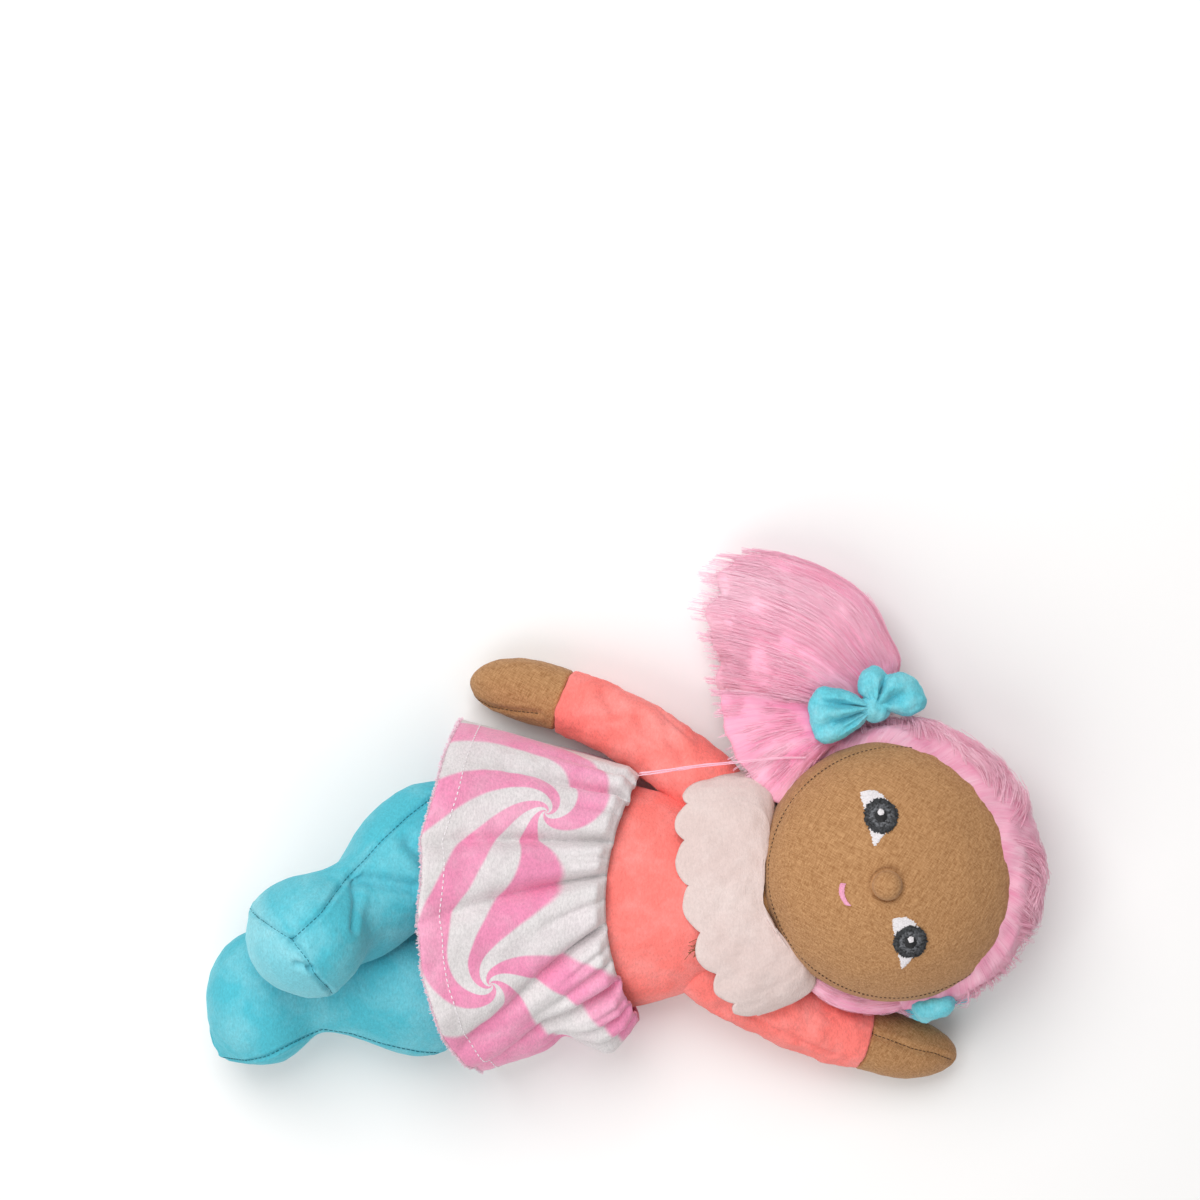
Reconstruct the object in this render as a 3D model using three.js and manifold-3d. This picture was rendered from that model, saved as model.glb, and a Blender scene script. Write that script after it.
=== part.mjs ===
// Soft stuffed cloth doll, lying on its back.
// Millimetres, +X towards the crown, +Y to the doll's right, +Z up.
// The origin is on the flat of the back that lies on the ground.
import * as THREE from 'three';
import { mergeVertices } from 'three/addons/utils/BufferGeometryUtils.js';
import Module from 'manifold-3d';

const wasm = await Module();
wasm.setup();

// Cloth and clearances
const cloth = 1.6;
const gap = 0.4;
const fillGap = 0.8;
const swing = 1.6;
const pile = 6;

// Torso: reaches from the origin along X, then breadths across and from back to front
const shoulderReach = 33;
const waistReach = 20;
const waistCurve = 90;
const seatReach = 50;
const seatWidth = 68;
const hipWidth = 86;
const waistWidth = 85;
const chestWidth = 74;
const shoulderWidth = 54;
const seatDepth = 48;
const bellyDepth = 54;
const shoulderDepth = 40;
const backFlat = 1.5;
const seatRound = 18;
const shoulderRound = 14;

// Neck and head
const neckRadius = 13;
const neckReach = shoulderReach + 3;
const neckHeight = bellyDepth / 2 + 9;
const neckOffset = -1;
const headLength = 100;
const headWidth = 98;
const headDepth = 72;
const headTilt = 13.2;
const hairlineTilt = 24;

// Face, measured from the middle of the head: towards the crown and to the doll's right
const faceTurn = -2.4;
const eyeTurn = -0.2;
const eyeSpacing = 46.6;
const eyeRise = -7;
const eyeWidth = 18.4;
const eyeHeight = 11.4;
const irisDiameter = 11.2;
const irisSink = 0.8;
const pupilDiameter = 4;
const threadHeight = 0.8;
const noseRise = -5.4;
const noseDiameter = 12;
const noseHeight = 5;
const noseSunk = 1;
const mouthRise = -20.2;
const mouthWidth = 8.6;
const mouthSag = 2.4;
const mouthThickness = 1.8;

// Ponytails, ties and bows
const tailLength = 64;
const tailSwell = 67;
const tailWidth = 75;
const tailEnd = 58;
const tailRise = 20;
const tailDepth = 33;
const tailThin = 26;
const tailRound = 22;
const tailHeading = 127;
const tailPitch = 15;
const tuckedLength = 40;
const tuckedWidth = 21;
const tuckedDepth = 14;
const tuckedRound = 12;
const tuckedHeading = 150;
const tuckedPitch = 2;
const tailRoot = 4.6;
const tieThickness = 2.6;
const bowLoopLength = 20;
const bowLoopHeight = 21;
const bowLoopDepth = 9;
const bowLoopRound = 9;
const bowKnot = 9.5;
const bowTuck = 1.5;
const bowTilt = -4;

// Places on the head: towards the crown, out from the side of the hair, above the head's middle
const rightBow = { rise: 3, out: 8.5, level: 3.5 };
const leftBow = { rise: 6, out: 1, level: -9 };
const rightTie = { rise: -1, out: 4.5, level: -10 };
const leftTie = { rise: 6, out: -7.5, level: -31 };

// Arms
const armDrop = 14;
const rightArmOut = 3;
const leftArmIn = 9.5;
const sleeveLength = 67;
const shoulderBall = 14.5;
const sleeveWidth = 28;
const cuffWidth = 26;
const wristWidth = 24;
const handLength = 37;
const handWidth = 24;
const handTip = 20;
const handRound = 13;

// Legs and feet
const rightLegIn = 12;
const leftLegIn = 13;
const legLength = 123;
const hipBall = 21;
const thighWidth = 47;
const kneeWidth = 48;
const ankleWidth = 39;
const ankleRound = 12;
const footLength = 56;
const footWidth = 46;
const footHeight = 48;
const toeAhead = 4;
const soleSeam = 14;

// Skirt and collar
const skirtLength = 68;
const hemWidth = 130;
const hemHeight = 77;
const hemSide = 14;
const hemFlare = 1.5;
const crownFlat = 0.65;
const floorFlat = 0.15;
const skirtFolds = 18;
const foldDepth = 2.4;
const elasticWidth = 5;
const elasticThickness = 0.8;
const collarWidth = 92;
const collarShift = 4;
const collarFront = 27;
const collarBack = 11;
const collarScallops = 16;
const collarDrop = 1.6;
const collarLift = 0.4;
const collarCurve = 0.6;
const scallopDepth = 3.2;
const groundGap = 0.3;

const colours = {
  skin: 0xb98a5b,
  coral: 0xff8272,
  turquoise: 0x4ec3d3,
  plush: 0xefa9c6,
  cream: 0xe3d5d2,
  print: 0xeebfd3,
  white: 0xf1eeea,
  grey: 0x45484c,
  black: 0x141414,
  rose: 0xe9a0c4,
  elastic: 0xf4f0ea,
  fibre: 0xf7f5f0
};

const degrees = THREE.MathUtils.degToRad;
const vector = (x, y, z) => new THREE.Vector3(x, y, z);

// Closed geometry to a solid that can be cut, and back
function solidOf(geometry) {
  const bare = geometry.clone();
  bare.deleteAttribute('normal');
  bare.deleteAttribute('uv');
  const merged = mergeVertices(bare, 1e-4);
  return new wasm.Manifold(new wasm.Mesh({
    numProp: 3,
    vertProperties: new Float32Array(merged.attributes.position.array),
    triVerts: new Uint32Array(merged.index.array)
  }));
}

function geometryOf(solid) {
  const bodies = solid.decompose();
  const largest = bodies.reduce((a, b) => (a.volume() > b.volume() ? a : b));
  const mesh = largest.getMesh();
  const geometry = new THREE.BufferGeometry();
  geometry.setAttribute('position', new THREE.BufferAttribute(mesh.vertProperties, 3));
  geometry.setIndex(new THREE.BufferAttribute(mesh.triVerts, 1));
  geometry.computeVertexNormals();
  return geometry;
}

const moved = (solid, matrix) => solid.transform([...matrix.elements]);
const less = (solid, cutters) => cutters.reduce((rest, cutter) => rest.subtract(cutter), solid);

// Surface through rings of points, closed at both ends by a point or joined first to last
function skinned(rings, closed) {
  const points = rings.flat();
  const starts = [];
  let count = 0;
  for (const ring of rings) {
    starts.push(count);
    count += ring.length;
  }
  const faces = [];
  const last = closed ? rings.length : rings.length - 1;
  for (let i = 0; i < last; i += 1) {
    const j = (i + 1) % rings.length;
    const sides = Math.max(rings[i].length, rings[j].length);
    const at = (k, n) => starts[k] + (rings[k].length === 1 ? 0 : n % sides);
    for (let n = 0; n < sides; n += 1) {
      if (rings[i].length > 1) faces.push(at(i, n), at(i, n + 1), at(j, n));
      if (rings[j].length > 1) faces.push(at(i, n + 1), at(j, n + 1), at(j, n));
    }
  }
  const places = points.flatMap((p) => [p.x, p.y, p.z]);
  const geometry = new THREE.BufferGeometry();
  geometry.setAttribute('position', new THREE.Float32BufferAttribute(places, 3));
  geometry.setIndex(faces);
  return geometry;
}

// A stuffed form along X, moved out by grow: breadths at even stations, ends flat or rounded over a length
function stuffed({ from, to, widths, depths, roundFrom, roundTo, rings = 9, sides = 14 }, grow = 0) {
  const stations = (list) => new THREE.CatmullRomCurve3(list.map((v, i) => vector(i, v, 0)));
  const across = stations(widths);
  const through = stations(depths);
  const start = from - grow;
  const length = to - from + 2 * grow;
  const cap = (s, reach) => (s >= reach ? 1 : Math.sqrt(Math.max(0, 1 - (1 - s / reach) ** 2)));
  const loops = [[vector(start, 0, 0)]];
  const first = roundFrom > 0 ? 1 : 0;
  const last = roundTo > 0 ? rings - 1 : rings;
  for (let i = first; i <= last; i += 1) {
    const s = length * (0.5 - 0.5 * Math.cos((Math.PI * i) / rings));
    const t = THREE.MathUtils.clamp((s - grow) / (to - from), 0, 1);
    const ends = cap(s, roundFrom + grow) * cap(length - s, roundTo + grow);
    const width = (across.getPoint(t).y / 2 + grow) * ends;
    const depth = (through.getPoint(t).y / 2 + grow) * ends;
    const turn = (n) => (2 * Math.PI * n) / sides;
    loops.push(Array.from({ length: sides }, (_, n) =>
      vector(start + s, width * Math.cos(turn(n)), depth * Math.sin(turn(n)))));
  }
  loops.push([vector(start + length, 0, 0)]);
  return skinned(loops, false);
}

// Bends a form along X to one side, as an arc that starts at x = 0
function bent(geometry, angle, length) {
  if (angle === 0) return geometry;
  const radius = length / degrees(angle);
  const place = geometry.attributes.position;
  for (let i = 0; i < place.count; i += 1) {
    const x = place.getX(i);
    if (x > 0) {
      const reach = radius - place.getY(i);
      place.setXY(i, reach * Math.sin(x / radius), radius - reach * Math.cos(x / radius));
    }
  }
  return geometry;
}

// A block that removes everything on the far side of a plane
const blockSize = 600;
function beyond(point, direction) {
  const block = new THREE.BoxGeometry(blockSize, blockSize, blockSize);
  block.translate(blockSize / 2, 0, 0);
  const turn = new THREE.Quaternion().setFromUnitVectors(vector(1, 0, 0), direction.clone().normalize());
  block.applyQuaternion(turn);
  block.translate(point.x, point.y, point.z);
  return solidOf(block);
}

const down = vector(0, 0, -1);
const below = (height) => beyond(vector(0, 0, height), down);

function placed(position, rotation) {
  const group = new THREE.Group();
  group.position.copy(position);
  group.rotation.copy(rotation);
  group.updateMatrix();
  return group;
}

const velour = 0.95;
const cotton = 0.9;
function piece(group, name, geometry, colour, roughness = velour) {
  const material = new THREE.MeshStandardMaterial({ color: colour, roughness, metalness: 0 });
  const mesh = new THREE.Mesh(geometry, material);
  mesh.name = name;
  group.add(mesh);
}

const doll = new THREE.Group();

// Sewn joints: where each limb turns, and how far
const armReachX = shoulderReach - armDrop;
const jointHeight = bellyDepth / 2;
const armJoints = {
  right: {
    pivot: vector(armReachX, chestWidth / 2 + rightArmOut, jointHeight), heading: 136, pitch: 9.5, bend: 40,
    axis: vector(0, 0, 1), low: -30, high: 0
  },
  left: {
    pivot: vector(armReachX, leftArmIn - chestWidth / 2, jointHeight), heading: -34, pitch: 9.5, bend: 28,
    axis: vector(0, 0, 1), low: -85, high: 0
  }
};
const legJoints = {
  right: {
    pivot: vector(-seatReach, hipWidth / 2 - rightLegIn, jointHeight),
    along: vector(-0.89, -0.27, 0.4), toe: vector(0, 0, 1), bend: 24,
    axis: vector(0.06, 0.49, 0.87), low: -38, high: 0
  },
  left: {
    pivot: vector(-seatReach, leftLegIn - hipWidth / 2, jointHeight),
    along: vector(-0.999, -0.04, -0.02), toe: vector(0, -0.95, 0.3), bend: 0,
    axis: vector(0, 0, 1), low: 0, high: 14
  }
};

// The room that a limb's round root and its nearer half need over its whole swing, in the doll's frame
const swingStep = 19;
function swept(solid, joint, radius) {
  const steps = Math.ceil((joint.high - joint.low) / swingStep);
  const centre = new THREE.Matrix4().makeTranslation(joint.pivot);
  const back = new THREE.Matrix4().makeTranslation(joint.pivot.clone().negate());
  let all = moved(solidOf(new THREE.SphereGeometry(radius + swing, 16, 12)), centre);
  for (let i = 0; i <= steps; i += 1) {
    const angle = degrees(joint.low + ((joint.high - joint.low) * i) / steps);
    const turn = new THREE.Matrix4().makeRotationAxis(joint.axis.clone().normalize(), angle);
    all = all.add(moved(solid, centre.clone().multiply(turn).multiply(back)));
  }
  return all;
}

// Torso form: the seat is lifted by the skirt and the elastic that lie under it
const torsoHeight = bellyDepth / 2 - backFlat;
const seatLift = groundGap + cloth + gap + elasticThickness + gap;
const torsoForm = {
  from: -seatReach,
  to: shoulderReach,
  widths: [seatWidth, hipWidth, waistWidth, chestWidth, shoulderWidth],
  depths: [seatDepth, bellyDepth, bellyDepth, bellyDepth, shoulderDepth],
  roundFrom: seatRound,
  roundTo: shoulderRound,
  rings: 9,
  sides: 18
};

// The waist seam dips at the middle: everything above it is inside an upright cylinder
function aboveWaist(offset) {
  const block = new THREE.CylinderGeometry(waistCurve + offset, waistCurve + offset, blockSize, 60);
  block.rotateX(Math.PI / 2);
  block.translate(waistCurve - waistReach, 0, 0);
  return solidOf(block);
}
const waistAt = (y) => waistCurve - waistReach - Math.sqrt(waistCurve ** 2 - y ** 2);

function torso(grow, form = torsoForm) {
  const body = stuffed(form, grow);
  body.translate(0, 0, torsoHeight);
  const lifted = below(seatLift - grow).subtract(aboveWaist(0));
  return less(solidOf(body), [below(-grow), lifted]);
}

// Arms, each in a group at its shoulder: sleeve and hand cloth over one stuffing
const armReach = sleeveLength + handLength;
const sleeveBreadths = [2 * shoulderBall, 2 * shoulderBall, sleeveWidth, sleeveWidth, cuffWidth];
const handBreadths = [wristWidth, handWidth, handWidth, handTip];
const armBreadths = [...sleeveBreadths, handWidth, handTip];
const sleeveForm = {
  from: -shoulderBall,
  to: sleeveLength,
  widths: sleeveBreadths,
  depths: sleeveBreadths,
  roundFrom: shoulderBall,
  roundTo: 0,
  sides: 12
};
const handForm = {
  from: sleeveLength + gap,
  to: armReach,
  widths: handBreadths,
  depths: handBreadths,
  roundFrom: 0,
  roundTo: handRound,
  sides: 12
};
const wholeArm = {
  from: -shoulderBall,
  to: armReach,
  widths: armBreadths,
  depths: armBreadths,
  roundFrom: shoulderBall,
  roundTo: handRound,
  sides: 12
};
function armGroup({ pivot, heading, pitch }) {
  return placed(pivot, new THREE.Euler(0, degrees(pitch), degrees(heading), 'ZYX'));
}
const armGroups = { right: armGroup(armJoints.right), left: armGroup(armJoints.left) };
const rootRound = 1;
const armRootShare = 0.7;
const armRootBreadths = [2 * shoulderBall, sleeveWidth, sleeveWidth];
const armRootForm = {
  from: 0,
  to: armRootShare * sleeveLength,
  widths: armRootBreadths,
  depths: armRootBreadths,
  roundFrom: rootRound,
  roundTo: rootRound,
  rings: 5,
  sides: 12
};
const armRoom = {};
for (const side of ['right', 'left']) {
  const outline = solidOf(bent(stuffed(armRootForm, swing), armJoints[side].bend, armReach));
  armRoom[side] = swept(moved(outline, armGroups[side].matrix), armJoints[side], shoulderBall);
}

// Legs, each in a group at its hip: X runs down the leg and Z points to the toe
const footForm = new THREE.SphereGeometry(1, 16, 10);
const footCentre = legLength - footHeight / 2;
const shinBreadths = [2 * hipBall, 2 * hipBall, thighWidth, kneeWidth, ankleWidth, ankleWidth];
const shinForm = {
  from: -hipBall,
  to: footCentre + footHeight / 4,
  widths: shinBreadths,
  depths: shinBreadths,
  roundFrom: hipBall,
  roundTo: ankleRound
};
function boot(grow, bend) {
  const foot = footForm.clone();
  foot.scale(footHeight / 2 + grow, footWidth / 2 + grow, footLength / 2 + grow);
  foot.translate(footCentre, 0, toeAhead);
  const shin = stuffed(shinForm, grow);
  return solidOf(bent(shin, bend, legLength)).add(solidOf(bent(foot, bend, legLength)));
}
function legGroup({ pivot, along, toe }) {
  const x = along.clone().normalize();
  const y = toe.clone().cross(x).normalize();
  const basis = new THREE.Matrix4().makeBasis(x, y, x.clone().cross(y));
  return placed(pivot, new THREE.Euler().setFromRotationMatrix(basis));
}
const legGroups = { right: legGroup(legJoints.right), left: legGroup(legJoints.left) };
const legRootShare = 0.5;
const legRootBreadths = [2 * hipBall, thighWidth, thighWidth];
const legRootForm = {
  from: 0,
  to: legRootShare * legLength,
  widths: legRootBreadths,
  depths: legRootBreadths,
  roundFrom: rootRound,
  roundTo: rootRound,
  rings: 5,
  sides: 12
};
const legRoom = {};
for (const side of ['right', 'left']) {
  const outline = solidOf(bent(stuffed(legRootForm, swing), legJoints[side].bend, legLength));
  legRoom[side] = swept(moved(outline, legGroups[side].matrix), legJoints[side], hipBall);
}
const limbRoom = [armRoom.right, armRoom.left, legRoom.right, legRoom.left];

// Torso pieces
const neckBall = vector(neckReach, neckOffset, neckHeight);
const neckBreadths = [2 * neckRadius, 2 * neckRadius, 2 * neckRadius];
const neckForm = {
  from: -neckReach / 2,
  to: neckRadius,
  widths: neckBreadths,
  depths: neckBreadths,
  roundFrom: rootRound,
  roundTo: neckRadius
};
function neckSolid(grow) {
  const tube = stuffed(neckForm, grow);
  tube.translate(neckBall.x, neckBall.y, neckBall.z);
  return solidOf(tube);
}
const fillForm = { ...torsoForm, sides: 9 };
const torsoCloth = less(torso(0).subtract(torso(-cloth)), limbRoom);
const bodice = torsoCloth.intersect(aboveWaist(0)).subtract(neckSolid(-cloth));
const seat = torsoCloth.subtract(aboveWaist(gap));
piece(doll, 'bodice', geometryOf(bodice), colours.coral);
piece(doll, 'seat', geometryOf(seat), colours.skin);
piece(doll, 'torso_stuffing', geometryOf(less(torso(-cloth - fillGap, fillForm), limbRoom)), colours.fibre);
piece(doll, 'neck', geometryOf(neckSolid(0).subtract(torso(gap))), colours.skin);

// Elastic of the skirt, round the top of the seat
const elasticOuter = torso(gap + elasticThickness).intersect(aboveWaist(gap + elasticWidth));
const elasticCuts = [torso(gap), aboveWaist(2 * gap + elasticThickness), ...limbRoom];
piece(doll, 'skirt_elastic', geometryOf(less(elasticOuter, elasticCuts)), colours.elastic);

// Skirt: a wall of cloth that fans from the elastic to the hem, over the legs and flat on the ground below
const skirtRings = 4;
const skirtSides = 3 * skirtFolds;
const waistRoom = gap + elasticThickness + 2 * gap;
const waistHalf = waistWidth / 2 + waistRoom + cloth;
const waistTop = torsoHeight + bellyDepth / 2 + waistRoom + cloth;
const mix = THREE.MathUtils.lerp;
function skirtRing(t, inset) {
  const half = mix(waistHalf, hemWidth / 2, t) - inset;
  const top = mix(waistTop, hemHeight, t ** hemFlare) - inset;
  const side = mix(torsoHeight, hemSide, Math.sqrt(t));
  const bottom = groundGap + inset;
  return Array.from({ length: skirtSides }, (_, n) => {
    const turn = (2 * Math.PI * n) / skirtSides;
    const rise = Math.sin(turn);
    const reach = waistAt(waistHalf * Math.cos(turn)) - gap - skirtLength * t;
    const fold = foldDepth * t * Math.cos(skirtFolds * turn) * Math.max(rise, 0);
    const over = side + (top - side) * Math.max(rise, 0) ** crownFlat;
    const under = (side - bottom) * Math.max(-rise, 0) ** floorFlat;
    return vector(reach, half * Math.cos(turn), over - under + fold);
  });
}
const skirtStations = Array.from({ length: skirtRings + 1 }, (_, i) => i / skirtRings);
const skirtInside = skirtStations.map((t) => skirtRing(t, cloth));
const skirtOutside = skirtStations.map((t) => skirtRing(t, 0)).reverse();
const skirtWall = solidOf(skinned([...skirtInside, ...skirtOutside], true));
const armOutline = solidOf(bent(stuffed(wholeArm, gap), armJoints.right.bend, armReach));
const skirtCuts = [torso(gap + elasticThickness + gap), moved(armOutline, armGroups.right.matrix)];
piece(doll, 'skirt', geometryOf(less(skirtWall, skirtCuts)), colours.print);

// Collar: a scalloped wall of cloth that falls from the neck over the chest and the back
const collarRings = 3;
const collarSides = 3 * collarScallops;
const upright = vector(0, 0, 1);
function collarRing(t, inset) {
  const spread = Math.sin((t * Math.PI) / 2);
  const neckAcross = neckRadius + gap + cloth - inset;
  const half = mix(neckAcross, collarWidth / 2 - inset, spread);
  const depth = mix(neckAcross, torsoHeight + cloth + 2 * gap - inset, spread);
  return Array.from({ length: collarSides }, (_, n) => {
    const turn = (2 * Math.PI * n) / collarSides;
    const rise = Math.sin(turn);
    const fall = (rise > 0 ? collarFront : collarBack) * Math.abs(rise) ** collarCurve;
    const scallop = scallopDepth * Math.abs(Math.cos((collarScallops * turn) / 2));
    const height = mix(0, torsoHeight - neckBall.z, spread);
    const lift = depth * Math.sign(rise) * Math.abs(rise) ** collarLift;
    const across = collarShift * spread + half * Math.cos(turn);
    const point = vector(-(t ** collarDrop) * (fall + scallop), across, height + lift);
    return point.applyAxisAngle(upright, degrees(headTilt)).add(neckBall);
  });
}
const collarStations = Array.from({ length: collarRings + 1 }, (_, i) => i / collarRings);
const collarInside = collarStations.map((t) => collarRing(t, cloth));
const collarOutside = collarStations.map((t) => collarRing(t, 0)).reverse();
const collarWall = solidOf(skinned([...collarInside, ...collarOutside], true));
const collarCuts = [torso(gap), neckSolid(gap), below(groundGap), ...limbRoom];
piece(doll, 'collar', geometryOf(less(collarWall, collarCuts)), colours.cream);

// Arm pieces
for (const side of ['right', 'left']) {
  const group = armGroups[side];
  const { bend } = armJoints[side];
  const shape = (form, grow) => solidOf(bent(stuffed(form, grow), bend, armReach));
  const inside = shape(wholeArm, -cloth);
  piece(group, `sleeve_${side}`, geometryOf(shape(sleeveForm, 0).subtract(inside)), colours.coral);
  piece(group, `hand_${side}`, geometryOf(shape(handForm, 0).subtract(inside)), colours.skin);
  piece(group, `arm_stuffing_${side}`, geometryOf(shape(wholeArm, -cloth - fillGap)), colours.fibre);
  doll.add(group);
}

// Leg pieces: the right leg lies across the left and is dented by it
const seamPlane = legLength - soleSeam;
const past = beyond(vector(seamPlane, 0, 0), vector(1, 0, 0));
const short = beyond(vector(seamPlane + gap, 0, 0), vector(-1, 0, 0));
const opening = beyond(vector(-hipBall / 2, 0, 0), vector(-1, 0, 0));
const leftToRight = legGroups.right.matrix.clone().invert().multiply(legGroups.left.matrix);
const legSolids = {
  left: (grow) => boot(grow, legJoints.left.bend),
  right: (grow) => {
    const dent = moved(boot(gap - grow, legJoints.left.bend), leftToRight);
    return boot(grow, legJoints.right.bend).subtract(dent);
  }
};
for (const side of ['right', 'left']) {
  const group = legGroups[side];
  const solid = legSolids[side];
  const shell = solid(0).subtract(solid(-cloth));
  piece(group, `leg_${side}`, geometryOf(less(shell, [past, opening])), colours.turquoise);
  piece(group, `sole_${side}`, geometryOf(shell.subtract(short)), colours.turquoise);
  piece(group, `leg_stuffing_${side}`, geometryOf(solid(-cloth - fillGap)), colours.fibre);
  doll.add(group);
}

// Head, in a group at its middle: X runs to the crown and Z to the face
const pileSunk = 2;
const chinGap = 2.4;
const headHeight = headDepth / 2 + pile - pileSunk;
const turnedTilt = new THREE.Euler(0, 0, degrees(headTilt));
const headMiddle = vector(headLength / 2 + chinGap, 0, 0).applyEuler(turnedTilt);
headMiddle.add(vector(neckReach, neckOffset, headHeight));
const head = placed(headMiddle, turnedTilt);
const ball = new THREE.SphereGeometry(1, 24, 14).rotateX(Math.PI / 2);
const coarseBall = new THREE.SphereGeometry(1, 14, 8).rotateX(Math.PI / 2);
function headSolid(grow, shape = ball) {
  const form = shape.clone();
  form.scale(headLength / 2 + grow, headWidth / 2 + grow, headDepth / 2 + grow);
  return solidOf(form);
}
const toHead = head.matrix.clone().invert();
const neckRoom = moved(neckSolid(swing), toHead);
const ground = moved(below(groundGap), toHead);
const front = vector(-Math.sin(degrees(hairlineTilt)), 0, Math.cos(degrees(hairlineTilt)));
const seamSide = (offset, direction) => beyond(front.clone().multiplyScalar(offset), direction);
const faceCuts = [headSolid(-cloth), seamSide(gap / 2, front.clone().negate()), neckRoom];
const capCuts = [headSolid(-cloth), seamSide(-gap / 2, front), neckRoom, ground];
piece(head, 'face_panel', geometryOf(less(headSolid(0), faceCuts)), colours.skin, cotton);
piece(head, 'hair_cap', geometryOf(less(headSolid(pile), capCuts)), colours.plush);
const headFill = headSolid(-cloth - fillGap, coarseBall).subtract(neckRoom);
piece(head, 'head_stuffing', geometryOf(headFill), colours.fibre);

// Embroidery: patches of thread that follow the face, cut from a layer just above it
const threadShine = 0.7;
function patch(shape, layer) {
  const low = gap + layer * (threadHeight + gap);
  const prism = new THREE.ExtrudeGeometry(shape, { depth: headDepth, bevelEnabled: false, curveSegments: 8 });
  const thread = headSolid(low + threadHeight).subtract(headSolid(low)).intersect(solidOf(prism));
  return geometryOf(thread);
}
function eyeShape(x, y) {
  const shape = new THREE.Shape();
  shape.absellipse(x, y, eyeHeight, eyeWidth / 2, -Math.PI / 2, Math.PI / 2, false, 0);
  shape.closePath();
  return shape;
}
function disc(x, y, diameter) {
  const shape = new THREE.Shape();
  shape.absarc(x, y, diameter / 2, 0, 2 * Math.PI, false);
  return shape;
}
for (const [side, sign] of [['right', 1], ['left', -1]]) {
  const across = eyeTurn + (sign * eyeSpacing) / 2;
  const iris = eyeRise + eyeHeight / 2 - irisSink;
  piece(head, `eye_white_${side}`, patch(eyeShape(eyeRise, across), 0), colours.white, threadShine);
  piece(head, `eye_iris_${side}`, patch(disc(iris, across, irisDiameter), 1), colours.grey, threadShine);
  piece(head, `eye_pupil_${side}`, patch(disc(iris, across, pupilDiameter), 2), colours.black, threadShine);
}
const smile = new THREE.Shape();
smile.moveTo(mouthRise, faceTurn + mouthWidth / 2);
smile.quadraticCurveTo(mouthRise - 2 * mouthSag, faceTurn, mouthRise, faceTurn - mouthWidth / 2);
smile.lineTo(mouthRise - mouthThickness, faceTurn - mouthWidth / 2);
const smileDip = mouthRise - 2 * mouthSag - mouthThickness;
smile.quadraticCurveTo(smileDip, faceTurn, mouthRise - mouthThickness, faceTurn + mouthWidth / 2);
smile.closePath();
piece(head, 'mouth_stitch', patch(smile, 0), colours.rose, threadShine);

// Nose: a padded dome on the face
const noseForm = new THREE.SphereGeometry(1, 14, 10);
noseForm.scale(noseDiameter / 2, noseDiameter / 2, noseHeight + noseSunk);
noseForm.translate(noseRise, faceTurn, headDepth / 2 - noseSunk);
piece(head, 'nose_pad', geometryOf(solidOf(noseForm).subtract(headSolid(gap))), colours.skin, cotton);

// Bows: a knot between two puffed loops, each bow in a group of its own with the loops along X
const loopForm = {
  from: 0,
  to: bowLoopLength,
  widths: [bowLoopHeight / 2, bowLoopHeight, bowLoopHeight],
  depths: [bowLoopDepth / 2, bowLoopDepth, bowLoopDepth],
  roundFrom: rootRound,
  roundTo: bowLoopRound,
  rings: 8,
  sides: 12
};
const knotForm = new THREE.SphereGeometry(bowKnot / 2, 12, 8);
const knotRoom = solidOf(new THREE.SphereGeometry(bowKnot / 2 + gap, 12, 8));
const capRoom = headSolid(pile + gap);
const capHalf = headWidth / 2 + pile;
function bow(side, position, rotation) {
  const group = placed(position, rotation);
  const hair = moved(capRoom, group.matrix.clone().invert());
  piece(group, `bow_knot_${side}`, geometryOf(solidOf(knotForm).subtract(hair)), colours.turquoise);
  for (const [end, turn] of [['upper', 0], ['lower', Math.PI]]) {
    const loop = stuffed(loopForm);
    loop.translate(bowKnot / 2 - bowTuck, 0, 0);
    loop.rotateZ(turn);
    const shape = less(solidOf(loop), [knotRoom, hair]);
    piece(group, `bow_loop_${end}_${side}`, geometryOf(shape), colours.turquoise);
  }
  head.add(group);
}
const onRight = ({ rise, out, level }) => vector(rise, capHalf + out, level);
const onLeft = ({ rise, out, level }) => vector(rise, -capHalf - out, level);
bow('right', onRight(rightBow), new THREE.Euler(0, 0, degrees(bowTilt)));
bow('left', onLeft(leftBow), new THREE.Euler(Math.PI / 2, 0, Math.PI / 2));

// Ponytails: each swells from its tie, and turns there
const tailForm = {
  from: 0,
  to: tailLength,
  widths: [2 * tailRoot, tailSwell, tailWidth, tailWidth, tailEnd],
  depths: [2 * tailRoot, tailRise, tailDepth, tailDepth, tailThin],
  roundFrom: rootRound,
  roundTo: tailRound,
  rings: 11
};
const tuckedForm = {
  from: 0,
  to: tuckedLength,
  widths: [2 * tailRoot, tuckedWidth, tuckedWidth, tuckedWidth],
  depths: [2 * tailRoot, tuckedDepth, tuckedDepth, tuckedDepth],
  roundFrom: rootRound,
  roundTo: tuckedRound
};
const tieSpace = tieThickness + gap;
function ponytail(side, form, position, rotation, neighbours) {
  const group = placed(position, rotation);
  const toTail = group.matrix.clone().invert();
  const shape = stuffed(form);
  shape.translate(tieSpace, 0, 0);
  const cuts = [capRoom, ...neighbours].map((solid) => moved(solid, toTail));
  piece(group, `ponytail_${side}`, geometryOf(less(solidOf(shape), cuts)), colours.plush);
  const ring = new THREE.TorusGeometry(tailRoot + tieThickness / 2, tieThickness / 2, 6, 12);
  ring.rotateY(Math.PI / 2);
  ring.translate(tieThickness / 2, 0, 0);
  piece(group, `hair_tie_${side}`, geometryOf(solidOf(ring)), colours.elastic);
  head.add(group);
}
const fanned = new THREE.Euler(0, degrees(tailPitch), degrees(tailHeading - headTilt), 'ZYX');
const tucked = new THREE.Euler(0, degrees(tuckedPitch), degrees(tuckedHeading), 'ZYX');
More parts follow.
